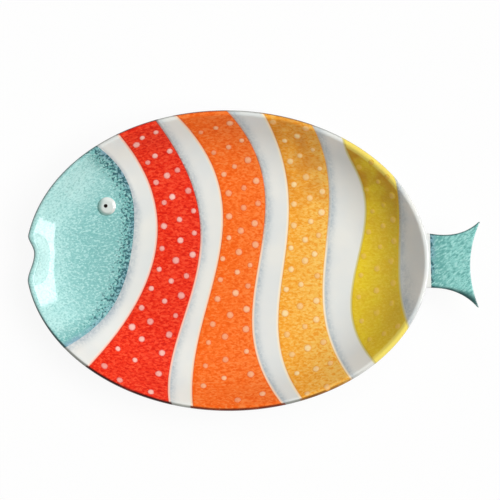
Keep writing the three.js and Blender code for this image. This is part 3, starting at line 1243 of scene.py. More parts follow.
@dataclass(frozen=True)
class Stripe:
    """A coloured stripe across the dish: its coat and its dots."""

    name: str
    node: str
    glaze: StripeGlaze
    front: FieldEdge
    back: FieldEdge
    seed: int
    margin: float = 2.1 * MM
    side_steps: tuple[float, ...] = (0, 0.5, 1.0, 1.5, 1.9, 2.2, 2.5, 2.9, 3.5)
    inner_columns: int = 30
    rows: int = 230
    crowding: float = 0.7
    dot_radius: float = 2.75 * MM
    dot_height: float = 0.3 * MM
    dot_pitch: float = 6.4 * MM
    dot_columns: tuple[float, ...] = (0.16, 0.5, 0.83)
    dot_limit: float = 0.975
    dot_stray: tuple[float, float] = (0.15, 0.035)
    dot_sizes: tuple[float, float] = (0.8, 1.15)
    dot_paleness: tuple[float, float] = (0.55, 1.0)
    dot_radii: tuple[float, ...] = (0.45, 0.75, 0.95, 1.15, 1.35)
    dot_levels: tuple[float, ...] = (0.8, 0.44, 0.18, 0.08, -0.3)
    # Where a dot's cover falls to 0 at its skirt, the ring colour shows as painted shade round its foot.
    dot_covers: tuple[float, ...] = (1, 0.9, 0.5, 0.08, 0)
    dot_sides: int = 10
    samples: int = 400

    def coat(self, dish: DishForm, build: CoatBuild) -> Skin:
        """The coat: lines from front edge to back edge, each cut off by the oval on the lip.

        A line is (1 - q) of the front edge, moved in by its step, and q of the back edge, moved in by
        its step, so that the lines by an edge keep their distance from it.

        Args:
            dish: The dish that carries it.
            build: How the coat is laid.

        Returns:
            The coat's shell.
        """
        steps = np.array(self.side_steps) * MM
        inner = np.linspace(0, 1, self.inner_columns + 2)[1:-1]
        last = np.full_like(inner, steps[-1])
        share = np.concatenate([0 * steps, inner, 1 + 0 * steps])
        from_front = np.concatenate([steps, last, 0 * steps + steps[-1]]) - self.margin
        from_back = np.concatenate([0 * steps + steps[-1], last, steps[::-1]]) - self.margin

        def line_x(y: Array) -> Array:
            """Place of each line along the dish.

            Args:
                y: Distance to the side, one for each line.

            Returns:
                Distances from the dish's middle.
            """
            ahead = self.front.along(dish, y) + from_front * self.front.stretch(dish, y)
            behind = self.back.along(dish, y) - from_back * self.back.stretch(dish, y)
            return (1 - share) * ahead + share * behind

        low = dish.crossing(line_x, -1)
        high = dish.crossing(line_x, 1)
        y = low + (high - low) * crowded(self.rows, self.crowding)[:, None]
        x, y = line_x(y).T, y.T
        front_gap = self.front.ahead(dish, x, y)
        back_gap = -self.back.ahead(dish, x, y)
        edge = np.minimum(front_gap, back_gap)
        across = np.clip(front_gap / (front_gap + back_gap), 0, 1)
        marks = {Mark.EDGE: edge / MM, Mark.ACROSS: across}
        return build.shell(dish, x, y, edge, marks)

    def dots(self, dish: DishForm, build: CoatBuild) -> Skin:
        """The dots: low domes in staggered columns, jittered from a seed.

        Dot k lies k pitches along the stripe's middle line, in the columns in turn. A dome falls from its
        middle by about the square of its radius, with a skirt round its foot in a darker ring colour,
        painted as shade, and it is drawn in down the slope so that it is round on the clay.

        Args:
            dish: The dish that carries them.
            build: How the coat under them is laid.

        Returns:
            All the dots of the stripe as one skin.
        """
        chance = np.random.default_rng(self.seed)
        sample = np.linspace(-1, 1, self.samples) * dish.half_width
        middle = (self.front.along(dish, sample) + self.back.along(dish, sample)) / 2
        length = np.concatenate([[0], np.cumsum(np.hypot(np.diff(middle), np.diff(sample)))])
        order = np.arange(int(length[-1] / self.dot_pitch))
        count = len(order)
        stray_along, stray_across = self.dot_stray
        along = (order + 0.5 + chance.normal(0, stray_along, count)) * self.dot_pitch
        y = np.interp(along, length, sample)
        column = np.array(self.dot_columns)[order % len(self.dot_columns)]
        share = column + chance.normal(0, stray_across, count)
        x = (1 - share) * self.front.along(dish, y) + share * self.back.along(dish, y)
        size = self.dot_radius * chance.uniform(*self.dot_sizes, count)
        paleness = chance.uniform(*self.dot_paleness, count)
        kept = np.hypot(x / dish.half_length, y / dish.half_width) < self.dot_limit
        x, y, size, paleness = x[kept], y[kept], size[kept], paleness[kept]

        unfolded = dish.unfolded_inset(x, y)
        tilt = dish.section(unfolded)[2][:, None, None]
        outward = np.stack([x / (dish.half_length - unfolded) ** 2, y / (dish.half_width - unfolded) ** 2])
        outward = (outward / np.linalg.norm(outward, axis=0))[..., None, None]
        radius = np.array(self.dot_radii)[:, None] * size[:, None, None]
        height = np.array(self.dot_levels)[:, None] * self.dot_height
        turn = circle(self.dot_sides)
        down = radius * np.cos(turn) * np.cos(tilt)
        side = radius * np.sin(turn)
        ring_x = x[:, None, None] + outward[0] * down - outward[1] * side
        ring_y = y[:, None, None] + outward[1] * down + outward[0] * side
        rings, _, _ = dish.laid_on(ring_x, ring_y, build.thickness + height + 0 * ring_x)
        top, _, _ = dish.laid_on(x, y, build.thickness + self.dot_height + 0 * x)
        under, _, _ = dish.laid_on(x, y, build.thickness - self.dot_height + 0 * x)
        points = np.concatenate([top[:, None], rings.reshape(len(x), -1, 3), under[:, None]], axis=1)
        cover = np.concatenate([[1], np.repeat(self.dot_covers, self.dot_sides), [0]])
        marks = {Mark.PALENESS: paleness[:, None] * cover}
        return Skin.turned(top[0], rings[0], under[0], {}).repeated(points, marks)

    def build(self, dish: DishForm, build: CoatBuild, shop: Workshop) -> None:
        """Sets down the coat and its dots.

        Args:
            dish: The dish that carries them.
            build: How the coat is laid.
            shop: The shared effects.
        """
        coat = self.coat(dish, build)
        set_down(coat, f"{self.name}_coat", self.glaze.material(shop), self.glaze.slot, self.node)
        dots = self.dots(dish, build)
        set_down(dots, f"{self.name}_dots", self.glaze.dot_material(shop), self.glaze.slot)


@dataclass(frozen=True)
class Head:
    """The turquoise coat of the head, from the lip at the nose to its back edge."""

    back: FieldEdge
    rows: int = 300
    crowding: float = 0.6
    tip_gap: float = 0.4 * MM
    stops: tuple[float, ...] = (0, 0.11, 0.3, 0.985, 1)
    columns: tuple[int, ...] = (28, 36, 50, 6)

    def coat(self, dish: DishForm, build: CoatBuild) -> Skin:
        """The coat: rows along the dish, from the oval on the lip to the back edge. Their points lie
        closest over the lip, then on the wall, and at the back edge.

        Args:
            dish: The dish that carries it.
            build: How the coat is laid.

        Returns:
            The coat's shell.
        """
        long_radius = dish.half_length - dish.coat_end
        short_radius = dish.half_width - dish.coat_end

        def back_x(y: Array) -> Array:
            """Distance along the dish of the back edge."""
            return self.back.along(dish, y)

        low = dish.crossing(back_x, -1) + self.tip_gap
        high = dish.crossing(back_x, 1) - self.tip_gap
        y = (low + (high - low) * crowded(self.rows, self.crowding))[None, :]
        rim = -long_radius * np.sqrt(1 - (y / short_radius) ** 2)
        end = self.back.along(dish, y)
        x = rim + (end - rim) * stepped(self.stops, self.columns)[:, None]
        y = y + 0 * x
        edge = -self.back.ahead(dish, x, y)
        inset, _, _ = dish.section(dish.unfolded_inset(x, y))
        marks = {Mark.EDGE: edge / MM, Mark.PALENESS: dish.hollow(x, y, inset)}
        return build.shell(dish, x, y, edge, marks)

    def build(self, dish: DishForm, build: CoatBuild, turquoise: bpy.types.Material) -> None:
        """Sets down the coat."""
        set_down(self.coat(dish, build), "head_coat", turquoise, Slot.TURQUOISE, "head_glaze")


@dataclass(frozen=True)
class Dish:
    """The clay dish, white glazed all over."""

    washes: tuple[FieldEdge, ...]
    columns: int = 400
    nose_crowding: float = 0.35
    rows_over: tuple[int, ...] = (38, 12, 26)
    rows_under: tuple[int, ...] = (8, 24)
    floor_rows: int = 46
    under_thinning: int = 6
    wash_overlap: float = 3 * MM
    wash_narrowing: float = 1.5
    wash_narrow_side: Span = (40 * MM, 75 * MM)
    # Painted shade: the last field's wash reaches further on the side away from the eye, darkening the wall
    # there.
    shade_broadening: float = 0.5
    shade_broad_side: Span = (-10 * MM, 20 * MM)

    def skin(self, dish: DishForm) -> Skin:
        """The dish: its section, from the floor's middle over the lip to the middle underneath,
        carried round the oval.

        Args:
            dish: The form.

        Returns:
            The closed skin, with its distance from the fields' back edges. The first edge's wash is narrow
            on the side with the eye, and the last one's is broadened on the other side as painted shade of
            the wall there.
        """
        angle = circle(self.columns)
        angle = angle + self.nose_crowding * np.sin(angle)
        lip_end = dish.lip_start - dish.half * np.pi
        over = stepped((dish.floor_inset, dish.bend_end, dish.lip_start, lip_end), self.rows_over)
        under = stepped((dish.lip_start, dish.bend_end, dish.floor_inset), self.rows_under)[1:]
        unfolded = np.concatenate([over, under])
        is_over = np.arange(len(unfolded)) < len(over)
        lift = np.where(is_over, dish.half, -dish.half)[:, None]
        inset, level, tilt = (value[:, None] for value in dish.section(unfolded))
        walls = dish.carry((inset, level, tilt), lift, np.cos(angle), np.sin(angle))

        shrink = np.linspace(0, 1, self.floor_rows)[1:-1, None, None]
        top_middle = dish.middle + [0, 0, dish.floor_level + dish.half]
        under_middle = dish.middle + [0, 0, dish.floor_level - dish.half]
        top_floor = top_middle + shrink * (walls[0] - top_middle)
        under_floor = under_middle + shrink[::-self.under_thinning] * (walls[-1] - under_middle)
        rings = np.concatenate([top_floor, walls, under_floor])

        plan = rings - dish.middle
        gaps = np.stack([edge.ahead(dish, plan[..., 0], plan[..., 1]) for edge in self.washes])
        gaps[0] *= 1 + self.wash_narrowing * eased(plan[..., 1], *self.wash_narrow_side)
        # Painted shade of the wall behind the last field, on the side away from the eye.
        gaps[-1] *= 1 - self.shade_broadening * eased(-plan[..., 1], *self.shade_broad_side)
        nearest = np.min(np.where(gaps > -self.wash_overlap, np.abs(gaps), FAR), axis=0)
        nearest[len(top_floor) + len(over) - self.rows_over[-1] // 2:] = FAR
        turn = np.where(is_over, dish.slope - tilt[:, 0], np.pi)
        turn = np.concatenate([np.zeros(len(top_floor)), turn, np.full(len(under_floor), np.pi)])
        # The dish takes painted shade over the outside of the lip.
        marks = {Mark.WASH_AND_SHADE: nearest / MM, Mark.PAINTED_SHADE: dish.gathered(turn[:, None], rings)}
        return Skin.turned(top_middle, rings, under_middle, marks)

    def build(self, dish: DishForm, white: bpy.types.Material) -> None:
        """Sets down the dish."""
        set_down(self.skin(dish), "glazed_dish", white, Slot.WHITE, "dish_body")


@dataclass(frozen=True)
class FootRing:
    """The oval foot, in bare clay."""

    width: float = 8 * MM
    setback: float = 2 * MM
    rounding: float = 1.6 * MM
    sunk: float = 0.3 * MM
    columns: int = 240
    corner_points: int = 7

    def skin(self, dish: DishForm) -> Skin:
        """The foot: a block's section with rounded lower corners, carried round the oval.

        Args:
            dish: The dish that it carries.

        Returns:
            The closed ring.
        """
        outer = dish.floor_inset + self.setback
        inner = outer + self.width
        top = dish.foot_height + self.sunk
        arc = np.linspace(0, np.pi / 2, self.corner_points)
        bow_in = self.rounding * (1 - np.cos(arc))
        bow_up = self.rounding * (1 - np.sin(arc))
        inset = np.concatenate([[inner, outer], outer + bow_in, (inner - bow_in)[::-1]])[:, None]
        level = np.concatenate([[top, top], bow_up, bow_up[::-1]])[:, None]
        angle = circle(self.columns)
        return Skin.hoop(dish.carry((inset, level, 0 * inset), 0.0, np.cos(angle), np.sin(angle)))

    def build(self, dish: DishForm, clay: bpy.types.Material) -> None:
        """Sets down the foot."""
        set_down(self.skin(dish), "clay_foot", clay, Slot.CLAY, "foot_ring")


@dataclass(frozen=True)
class Eye:
    """The domed button of the eye, with a black dab on it."""

    diameter: float = 16.6 * MM
    height: float = 3.6 * MM
    crown: float = 0.35 * MM
    bevel_from: float = 0.55
    bevel_width: float = 0.15
    bevel_slope: float = 0.52
    rim_width: float = 0.1
    rounding: float = 1.5 * MM
    # The glaze is tinted grey-teal. The rim facing the light is left whiter as a painted highlight, and the
    # rim on the other side gets turquoise run-up and painted shade.
    tint: float = 0.24
    lit_side: tuple[float, float] = (0.8, 0.6)
    lit_rim: Span = (-0.1, 0.6)
    run: Span = (-0.4, 0.6)
    run_and_shade_strength: float = 0.7
    outer: Span = (0.5, 0.95)
    from_nose: float = 69.8 * MM
    from_axis: float = 47 * MM
    sunk: float = 2.5 * MM
    foot_radii: tuple[float, float] = (1.0, 0.5)
    pupil_diameter: float = 3.6 * MM
    pupil_offset: float = 1.4 * MM
    pupil_raise: float = 0.8 * MM
    pupil_height: float = 0.3 * MM
    pupil_radii: tuple[float, ...] = (0.3, 0.55, 0.75, 0.9, 1.0, 0.7)
    pupil_levels: tuple[float, ...] = (0.95, 0.83, 0.66, 0.43, -0.4, -0.6)
    pupil_columns: int = 24
    probe: float = 0.5 * MM
    rows: int = 40
    columns: int = 64

    def stand(self, dish: DishForm) -> tuple[Array, Array]:
        """Where the eye stands: its foot on the clay, and three square directions, the last one up,
        from two small steps along the clay.

        Args:
            dish: The dish that carries it.

        Returns:
            The point and the directions, one to a row.
        """
        x = self.from_nose - dish.half_length + np.array([0, self.probe, 0])
        y = self.from_axis + np.array([0, 0, self.probe])
        points, _, _ = dish.laid_on(x, y, np.zeros(3))
        tailwards = points[1] - points[0]
        tailwards = tailwards / np.linalg.norm(tailwards)
        normal = np.cross(tailwards, points[2] - points[0])
        normal = normal / np.linalg.norm(normal)
        return points[0], np.stack([tailwards, np.cross(normal, tailwards), normal])

    def dome(self, radius: Array) -> Array:
        """Height of the button over the clay.

        Its crown falls by the square of the radius. A bevel sets in smoothly, by the third and fourth
        powers, and goes on straight. The rim is a quarter of an oval.

        Args:
            radius: Distances from the button's axis.

        Returns:
            Heights.
        """
        share = 2 * radius / self.diameter
        beyond = share - self.bevel_from
        t = np.clip(beyond / self.bevel_width, 0, 1)
        bevel = self.bevel_width * (t**3 - t**4 / 2) + np.maximum(0, beyond - self.bevel_width)
        rim = np.clip((share - (1 - self.rim_width)) / self.rim_width, 0, 1)
        drop = self.bevel_slope * self.diameter / 2 * bevel + self.rounding * (1 - np.sqrt(1 - rim**2))
        return self.height - self.crown * share**2 - drop

    def button(self, dish: DishForm) -> Skin:
        """The button: its section turned about its axis, with its foot sunk in the clay. Its glaze is
        tinted grey-teal. The rim on the side of the nose and the mouth takes more teal, as turquoise run-up
        with painted shade, and the rim facing the light is left whiter as a painted highlight.

        Args:
            dish: The dish that carries it.

        Returns:
            The closed button.
        """
        share = np.sin(np.linspace(0, np.pi / 2, self.rows))[1:]
        radius = np.concatenate([share, self.foot_radii])[:, None] * self.diameter / 2
        level = np.concatenate([self.dome(share * self.diameter / 2), [-self.sunk, -self.sunk]])[:, None]
        turn = circle(self.columns)
        local = np.stack([radius * np.cos(turn), radius * np.sin(turn), level + 0 * turn], axis=-1)
        foot, directions = self.stand(dish)
        top = foot + directions[2] * self.height
        under = foot - directions[2] * self.sunk
        far = np.full(local.shape[:2], FAR / MM)
        # Painted highlight on the rim that faces the light, and turquoise run-up with painted shade on the
        # rim away from it.
        facing = self.lit_side[0] * np.cos(turn) + self.lit_side[1] * np.sin(turn)
        outer = eased(2 * radius / self.diameter, *self.outer)
        lit_rim = self.tint * (1 - outer * eased(facing, *self.lit_rim))
        run = lit_rim + self.run_and_shade_strength * outer * eased(-facing, *self.run)
        marks = {Mark.WASH_AND_SHADE: far, Mark.PAINTED_SHADE: 0 * far, Mark.RUN_AND_SHADE: run}
        return Skin.turned(top, foot + local @ directions, under, marks)

    def pupil(self, dish: DishForm) -> Skin:
        """The pupil: a low dome that follows the button, nearer the nose and the back.

        Args:
            dish: The dish that carries the eye.

        Returns:
            The closed dab.
        """
        radius = np.array(self.pupil_radii)[:, None] * self.pupil_diameter / 2
        rise = np.array(self.pupil_levels)[:, None] * self.pupil_height
        turn = circle(self.pupil_columns)
        x = radius * np.cos(turn) - self.pupil_offset
        y = radius * np.sin(turn) + self.pupil_raise
        local = np.stack([x, y, self.dome(np.hypot(x, y)) + rise], axis=-1)
        level = self.dome(np.hypot(self.pupil_offset, self.pupil_raise))
        poles = np.array([[-self.pupil_offset, self.pupil_raise, level]] * 2)
        poles[:, 2] += np.array([1, -1]) * self.pupil_height
        foot, directions = self.stand(dish)
        top, under = foot + poles @ directions
        return Skin.turned(top, foot + local @ directions, under, {})

    def build(self, dish: DishForm, white: bpy.types.Material, black: bpy.types.Material) -> None:
        """Sets down the button and its pupil."""
        set_down(self.button(dish), "eye_button", white, Slot.WHITE, "eye_boss")
        set_down(self.pupil(dish), "eye_dab", black, Slot.BLACK, "eye_pupil")


@dataclass(frozen=True)
class Tail:
    """The forked tail: a pillowed slab of clay under the lip, with a turquoise coat."""

    reach: float = 44.2 * MM
    span: float = 77.6 * MM
    root: float = 48 * MM
    neck: float = 42 * MM
    neck_reach: float = 28 * MM
    fork: float = 8 * MM
    rise: float = 2.1 * MM
    slant: float = 3 * MM
    thickness: float = 6 * MM
    drop: float = 3.5 * MM
    squareness: float = 9.0
    tip_radius: float = 1.6 * MM
    sunk: float = 2.5 * MM
    coat_start: float = 0.3 * MM
    coat_skew: float = 1.8 * MM
    coat_rim: float = 0.1 * MM
    # Painted shade along the coat's sides: how far in it reaches and how it fades, wider on the lower side
    # towards the tip and narrower on the upper.
    dark_edge: float = 3.0 * MM
    dark_span: Span = (0.2, 1)
    lower_widening: float = 2.6
    upper_narrowing: float = 0.5
    rows: int = 90
    columns: int = 81
    samples: int = 200

    def plan(self, dish: DishForm, root_x: Array, along: Array, aside: Array) -> tuple[Array, Array]:
        """Plan points of the slab: straight rows between its sides, which are quadratic curves.

        The sides run straight from the root to the lip, then draw in and flare, and their tips are
        rounded off. The last row is the hollow of the fork, and each row bends towards it by its share
        to the third. The whole slab is set a little towards the eye, and slants back from there.

        Args:
            dish: The dish that it is luted to.
            root_x: Where the rows start, from the dish's middle.
            along: Shares from the root to the fork.
            aside: Shares from one side, -1, to the other, 1.

        Returns:
            Plan x and y from the dish's middle.
        """
        t = np.linspace(0, 1, self.samples)
        lip, neck, tip = dish.half_length + np.array([0, self.neck_reach, self.reach])
        side_x = (1 - t) ** 2 * lip + 2 * t * (1 - t) * neck + t**2 * tip
        side_y = ((1 - t) ** 2 * self.root + 2 * t * (1 - t) * self.neck + t**2 * self.span) / 2
        x = root_x + (tip - root_x) * along
        near_tip = np.clip(1 - (tip - x) / self.tip_radius, 0, 1)
        half = np.interp(x, side_x, side_y) - self.tip_radius * (1 - np.sqrt(1 - near_tip**2))
        x = x - self.fork * along**3 * (1 - aside**2)
        return x, half * aside + self.rise - self.slant * (x - dish.half_length) / self.reach

    def surface(self, dish: DishForm, up: int, root_x: Array, along: Array, aside: Array) -> Array:
        """One side of the slab: level in the middle, rounded at the sides and at the fork.

        Its height over the slab's middle is half the thickness times (1 - |v|^p)^(1/p) across, and
        the same of u along.

        Args:
            dish: The dish that it is luted to.
            up: 1 for the upper side, -1 for the lower.
            root_x: Where the rows start.
            along, aside: Shares from root to fork, and from side to side.

        Returns:
            Points in the frame.
        """
        x, y = self.plan(dish, root_x, along, aside)
        power = self.squareness
        pillow = ((1 - np.abs(aside) ** power) * (1 - along ** (2 * power))) ** (1 / power)
        middle = dish.height - self.drop - self.thickness / 2
        z = middle + up * self.thickness / 2 * pillow
        return np.stack([x, y, z], axis=-1) + dish.middle

    def shares(self) -> tuple[Array, Array]:
        """Shares of the slab's points, crowded at the fork and at the sides: sines of even steps.

        Returns:
            Shares along and aside.
        """
        along = np.sin(np.linspace(0, np.pi / 2, self.rows))[:, None]
        aside = np.sin(np.linspace(-np.pi / 2, np.pi / 2, self.columns))[None, :]
        return along + 0 * aside, aside + 0 * along

    def clay(self, dish: DishForm) -> Skin:
        """The slab, with its root sunk in the wall: the lower side starts further in.

        Args:
            dish: The dish that it is luted to.

        Returns:
            The closed slab.
        """
        along, aside = self.shares()
        _, y = self.plan(dish, np.full_like(along, dish.half_length), 0 * along, aside)
        rim = dish.half_length * np.sqrt(1 - (y / dish.half_width) ** 2)
        fall = (self.drop + self.thickness - dish.half) / math.tan(dish.slope)
        top = self.surface(dish, 1, rim - self.sunk, along, aside)
        bottom = self.surface(dish, -1, rim - self.sunk - fall, along, aside)
        far = np.full(along.shape, FAR / MM)
        return Skin.shell(top, bottom, {Mark.WASH_AND_SHADE: far, Mark.PAINTED_SHADE: 0 * far})

    def coat(self, dish: DishForm, build: CoatBuild) -> Skin:
        """The coat: the slab's upper side, lifted square to itself and thin at every border. Its sides
        carry painted shade, the lower one more so towards the tip.

        Args:
            dish: The dish that the tail is luted to.
            build: How the coat is laid.

        Returns:
            The coat's shell.
        """
        along, aside = self.shares()
        start = dish.half_length + self.coat_start + self.coat_skew * (1 - aside) / 2
        base = self.surface(dish, 1, start, along, aside)
        normal = np.cross(np.gradient(base, axis=0), np.gradient(base, axis=1))
        normal = normal / np.linalg.norm(normal, axis=-1, keepdims=True)
        from_root = along * (self.reach - self.coat_start)
        from_side = (1 - np.abs(aside)) * self.root / 2
        from_fork = (1 - along) * self.reach
        rim = np.minimum(from_side, from_fork) + self.coat_rim
        lift = build.thickness * eased(np.minimum(from_root, rim), 0, build.border)
        top = base + normal * lift[..., None]
        bottom = base - normal * build.sink
        # Painted shade along the sides, wider on the lower side towards the tip.
        broader = np.where(aside < 0, 1 + self.lower_widening * along**3, self.upper_narrowing)
        edge_shade = 1 - eased(from_side / (self.dark_edge * broader), *self.dark_span)
        return Skin.shell(top, bottom, {Mark.EDGE: from_root / MM, Mark.PAINTED_SHADE: edge_shade})

    def build(
        self, dish: DishForm, build: CoatBuild, white: bpy.types.Material, turquoise: bpy.types.Material
    ) -> None:
        """Sets down the slab and its coat."""
        set_down(self.clay(dish), "tail_clay", white, Slot.WHITE, "tail_fin")
        set_down(self.coat(dish, build), "tail_coat", turquoise, Slot.TURQUOISE, "tail_glaze")


@dataclass(frozen=True)
class Studio:
    """A pale floor, soft light and the camera over the dish."""

    frame_width: float = 440.5 * MM
    distance: float = 2.7
    look_at: tuple[float, float, float] = (-3.5 * MM, 9.6 * MM, 37 * MM)
    roll: float = math.radians(0.7)
    floor_size: float = 40.0
    floor_albedo: float = 0.08
    floor_glow: float = 0.91
    floor_bounce: float = 0.45
    sky_colour: Colour = (0.193, 0.19, 0.172, 1.0)
    seen_colour: Colour = (1.0, 1.0, 1.0, 1.0)
    lamp_distance: float = 3.0
    lamp_elevation: float = math.radians(55)
    lamp_spread: float = math.radians(40)
    key: float = 2.1
    key_azimuth: float = 0.0
    fill: float = 1.0
    fill_azimuth: float = math.radians(60)
    softbox_radiance: float = 8.0
    softbox_distance: float = 1.5
    softbox_width: float = 1.44
    softbox_height: float = 0.7
    softbox_elevation: float = math.radians(15)
    softbox_azimuth: float = math.radians(2)

    def floor(self) -> None:
        """Pale floor that keeps the dish's shadow, shows white to the camera and in gloss, and lights
        the dish's underside. It is clear from below."""
        half = self.floor_size / 2
        mesh = bpy.data.meshes.new("floor")
        corners = [(-half, -half, 0), (half, -half, 0), (half, half, 0), (-half, half, 0)]
        mesh.from_pydata(corners, [], [(0, 1, 2, 3)])
        material, sketch = new_material("pale_floor")
        grey = (self.floor_albedo,) * 3 + (1.0,)
        rays = sketch.add("ShaderNodeLightPath").outputs
        mirrored = sketch.maths("ADD", rays["Is Glossy Ray"], rays["Is Transmission Ray"])
        seen = sketch.maths("ADD", rays["Is Camera Ray"], mirrored)
        extra = sketch.times(seen, self.floor_glow - self.floor_bounce)
        strength = sketch.maths("ADD", extra, self.floor_bounce)
        glow = sketch.add("ShaderNodeEmission", {"Strength": strength})
        lit = sketch.add("ShaderNodeAddShader")
        sketch.feed(lit.inputs[0], sketch.add("ShaderNodeBsdfDiffuse", {"Color": grey}).outputs[0])
        sketch.feed(lit.inputs[1], glow.outputs[0])
        below = sketch.add("ShaderNodeNewGeometry").outputs["Backfacing"]
        either = sketch.add("ShaderNodeMixShader", {"Fac": below})
        sketch.feed(either.inputs[1], lit.outputs[0])
        sketch.feed(either.inputs[2], sketch.add("ShaderNodeBsdfTransparent").outputs[0])
        sketch.surface(either)
        mesh.materials.append(material)
        floor = bpy.data.objects.new("floor", mesh)
        bpy.context.scene.collection.objects.link(floor)

    def sky(self) -> None:
        """Dim studio walls and ceiling, which the camera itself sees white."""
        world = bpy.data.worlds.new("studio")
        world.use_nodes = True
        sketch = NodeSketch(world.node_tree)
        seen = sketch.add("ShaderNodeLightPath").outputs["Is Camera Ray"]
        background = world.node_tree.nodes["Background"]
        background.inputs["Strength"].default_value = 1.0
        sketch.feed(background.inputs["Color"], sketch.mixed(seen, self.sky_colour, self.seen_colour))
        bpy.context.scene.world = world

    def lamp(
        self, name: str, kind: str, elevation: float, azimuth: float, distance: float,
    ) -> bpy.types.Object:
        """Lamp that is aimed at the dish.

        Args:
            name: Its name.
            kind: Its type.
            elevation: Angle over the table.
            azimuth: Angle from the tail towards the side with the eye.
            distance: From the dish.

        Returns:
            The lamp's object.
        """
        lamp = bpy.data.objects.new(name, bpy.data.lights.new(name, kind))
        reach = distance * math.cos(elevation)
        height = distance * math.sin(elevation)
        lamp.location = (reach * math.cos(azimuth), reach * math.sin(azimuth), height)
        lamp.rotation_euler = (0, math.pi / 2 - elevation, azimuth)
        lamp.visible_camera = False
        bpy.context.scene.collection.objects.link(lamp)
        return lamp

    def lamps(self) -> None:
        """A broad key over the tail, a fill beside it, and a low softbox that only the gloss shows."""
        suns = (("key", self.key, self.key_azimuth), ("fill", self.fill, self.fill_azimuth))
        for name, energy, azimuth in suns:
            lamp = self.lamp(name, "SUN", self.lamp_elevation, azimuth, self.lamp_distance)
            lamp.data.energy = energy
            lamp.data.angle = self.lamp_spread
            lamp.visible_glossy = False
        place = self.softbox_elevation, self.softbox_azimuth, self.softbox_distance
        softbox = self.lamp("softbox", "AREA", *place)
        softbox.data.shape = "ELLIPSE"
        softbox.data.size = self.softbox_height
        softbox.data.size_y = self.softbox_width
        area = math.pi / 4 * self.softbox_width * self.softbox_height
        softbox.data.energy = self.softbox_radiance * math.pi * area
        softbox.visible_diffuse = False

    def camera(self) -> None:
        """Camera that looks straight down from far off, turned a little about its axis."""
        data = bpy.data.cameras.new("camera")
        data.angle = 2 * math.atan(self.frame_width / 2 / self.distance)
        camera = bpy.data.objects.new("camera", data)
        x, y, z = self.look_at
        camera.location = (x, y, z + self.distance)
        camera.rotation_euler = (0, 0, self.roll)
        bpy.context.scene.collection.objects.link(camera)
        bpy.context.scene.camera = camera

    def build(self) -> None:
        """Sets up the floor, the lights, the camera and the view."""
        self.floor()
        self.sky()
        self.lamps()
        self.camera()
        bpy.context.scene.view_settings.view_transform = "Standard"


HEAD_EDGE = FieldEdge(-0.488, 0.18, -0.35, 0.34, -0.95)

TAIL_GLAZE = TurquoiseGlaze(
    name="turquoise_glaze_streaked",
    colour=srgb(140, 206, 200),
    deep=srgb(92, 160, 156),
    pale=srgb(180, 230, 225),
    depth=0.75,
    paleness=0.6,
    grain_scale=270.0,
    grain_stretch=2.4,
    grain_turn=math.radians(-35),
    fringe_width=5.0,
    clouding=0.0,
    pooling=0.0,
    dulling=0.0,
    deepening=0.65,
    deep_from=22.0,
)

RED = StripeGlaze(
    slot=Slot.RED,
    front=srgb(240, 48, 18),
    back=srgb(240, 50, 26),
    deep=srgb(214, 22, 4),
    pale=srgb(255, 92, 58),
    tint=srgb(246, 62, 34),
    line=srgb(120, 22, 14),
    halo=srgb(255, 206, 186),
    shade=srgb(120, 96, 88),
    dark=srgb(58, 8, 10),
    dot=srgb(255, 204, 192),
    ring=srgb(222, 34, 14),
)
ORANGE = StripeGlaze(
    slot=Slot.ORANGE,
    front=srgb(252, 104, 16),
    back=srgb(254, 122, 44),
    deep=srgb(242, 90, 4),
    pale=srgb(255, 146, 76),
    tint=srgb(254, 126, 50),
    line=srgb(164, 66, 20),
    halo=srgb(255, 222, 192),
    shade=srgb(150, 130, 114),
    dark=srgb(120, 42, 10),
    dot=srgb(255, 198, 154),
    ring=srgb(240, 96, 14),
)
AMBER = StripeGlaze(
    slot=Slot.AMBER,
    front=srgb(252, 166, 46),
    back=srgb(248, 196, 92),
    deep=srgb(242, 152, 34),
    pale=srgb(254, 210, 118),
    tint=srgb(250, 186, 78),
    line=srgb(206, 128, 36),
    halo=srgb(255, 238, 206),
    shade=srgb(176, 166, 142),
    dark=srgb(132, 80, 22),
    dot=srgb(255, 226, 168),
    ring=srgb(240, 158, 46),
    stain=srgb(212, 116, 24),
    staining=0.5,
)
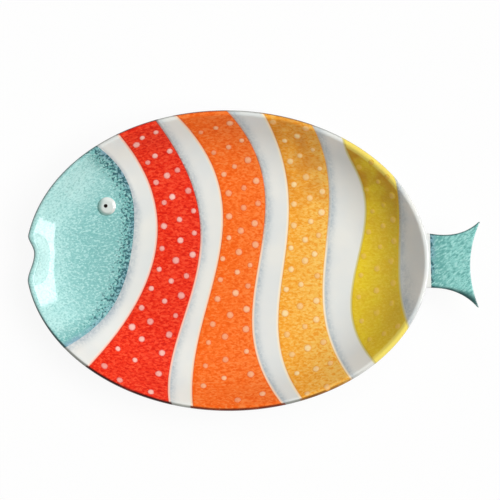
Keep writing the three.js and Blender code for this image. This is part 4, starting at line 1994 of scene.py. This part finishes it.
YELLOW = StripeGlaze(
    slot=Slot.YELLOW,
    front=srgb(236, 206, 40),
    back=srgb(220, 192, 56),
    deep=srgb(222, 178, 30),
    pale=srgb(240, 212, 82),
    tint=srgb(220, 170, 52),
    line=srgb(196, 164, 40),
    halo=srgb(216, 206, 140),
    shade=srgb(150, 146, 112),
    dark=srgb(220, 196, 60),
    dot=srgb(248, 206, 140),
    ring=srgb(226, 190, 44),
    paleness=0.35,
    depth=0.5,
    staining=0.75,
    lip_highlighting=0.75,
    dot_cover=0.42,
)

STRIPES = (
    Stripe(
        "red", "red_stripe", RED,
        FieldEdge(-0.371, 0.23, -0.55, -0.08), FieldEdge(-0.144, 0.14, -0.39, -0.23, 0.13), 11,
    ),
    Stripe(
        "orange", "orange_stripe", ORANGE,
        FieldEdge(-0.048, 0.19, -0.24, -0.28), FieldEdge(0.158, 0.16, -0.01, -0.38), 12,
    ),
    Stripe(
        "amber", "amber_stripe", AMBER,
        FieldEdge(0.283, 0.125, -0.05, -0.31, 0.07), FieldEdge(0.484, 0.08, 0.12, -0.36), 13,
    ),
    Stripe(
        "yellow", "yellow_stripe", YELLOW,
        FieldEdge(0.651, 0.215, 0.07, -0.78, straight_from=0.74),
        FieldEdge(0.852, 0.0, 0.14, -0.45, straight_from=0.74), 14,
    ),
)


def main() -> None:
    """Builds the studio, then the pieces in order."""
    logging.basicConfig(level=logging.INFO, format="%(name)s %(message)s")
    Studio().build()
    shop = Workshop()
    dish = DishForm()
    build = CoatBuild()
    white = WhiteGlaze().material(shop)
    turquoise = TurquoiseGlaze().material(shop)
    streaked = TAIL_GLAZE.material(shop)
    Dish((HEAD_EDGE, *(stripe.back for stripe in STRIPES))).build(dish, white)
    FootRing().build(dish, BareClay().material(shop))
    Head(HEAD_EDGE).build(dish, build, turquoise)
    for stripe in STRIPES:
        stripe.build(dish, build, shop)
    Eye().build(dish, white, BlackGlaze().material(shop))
    Tail().build(dish, build, white, streaked)


if __name__ == "__main__":
    main()
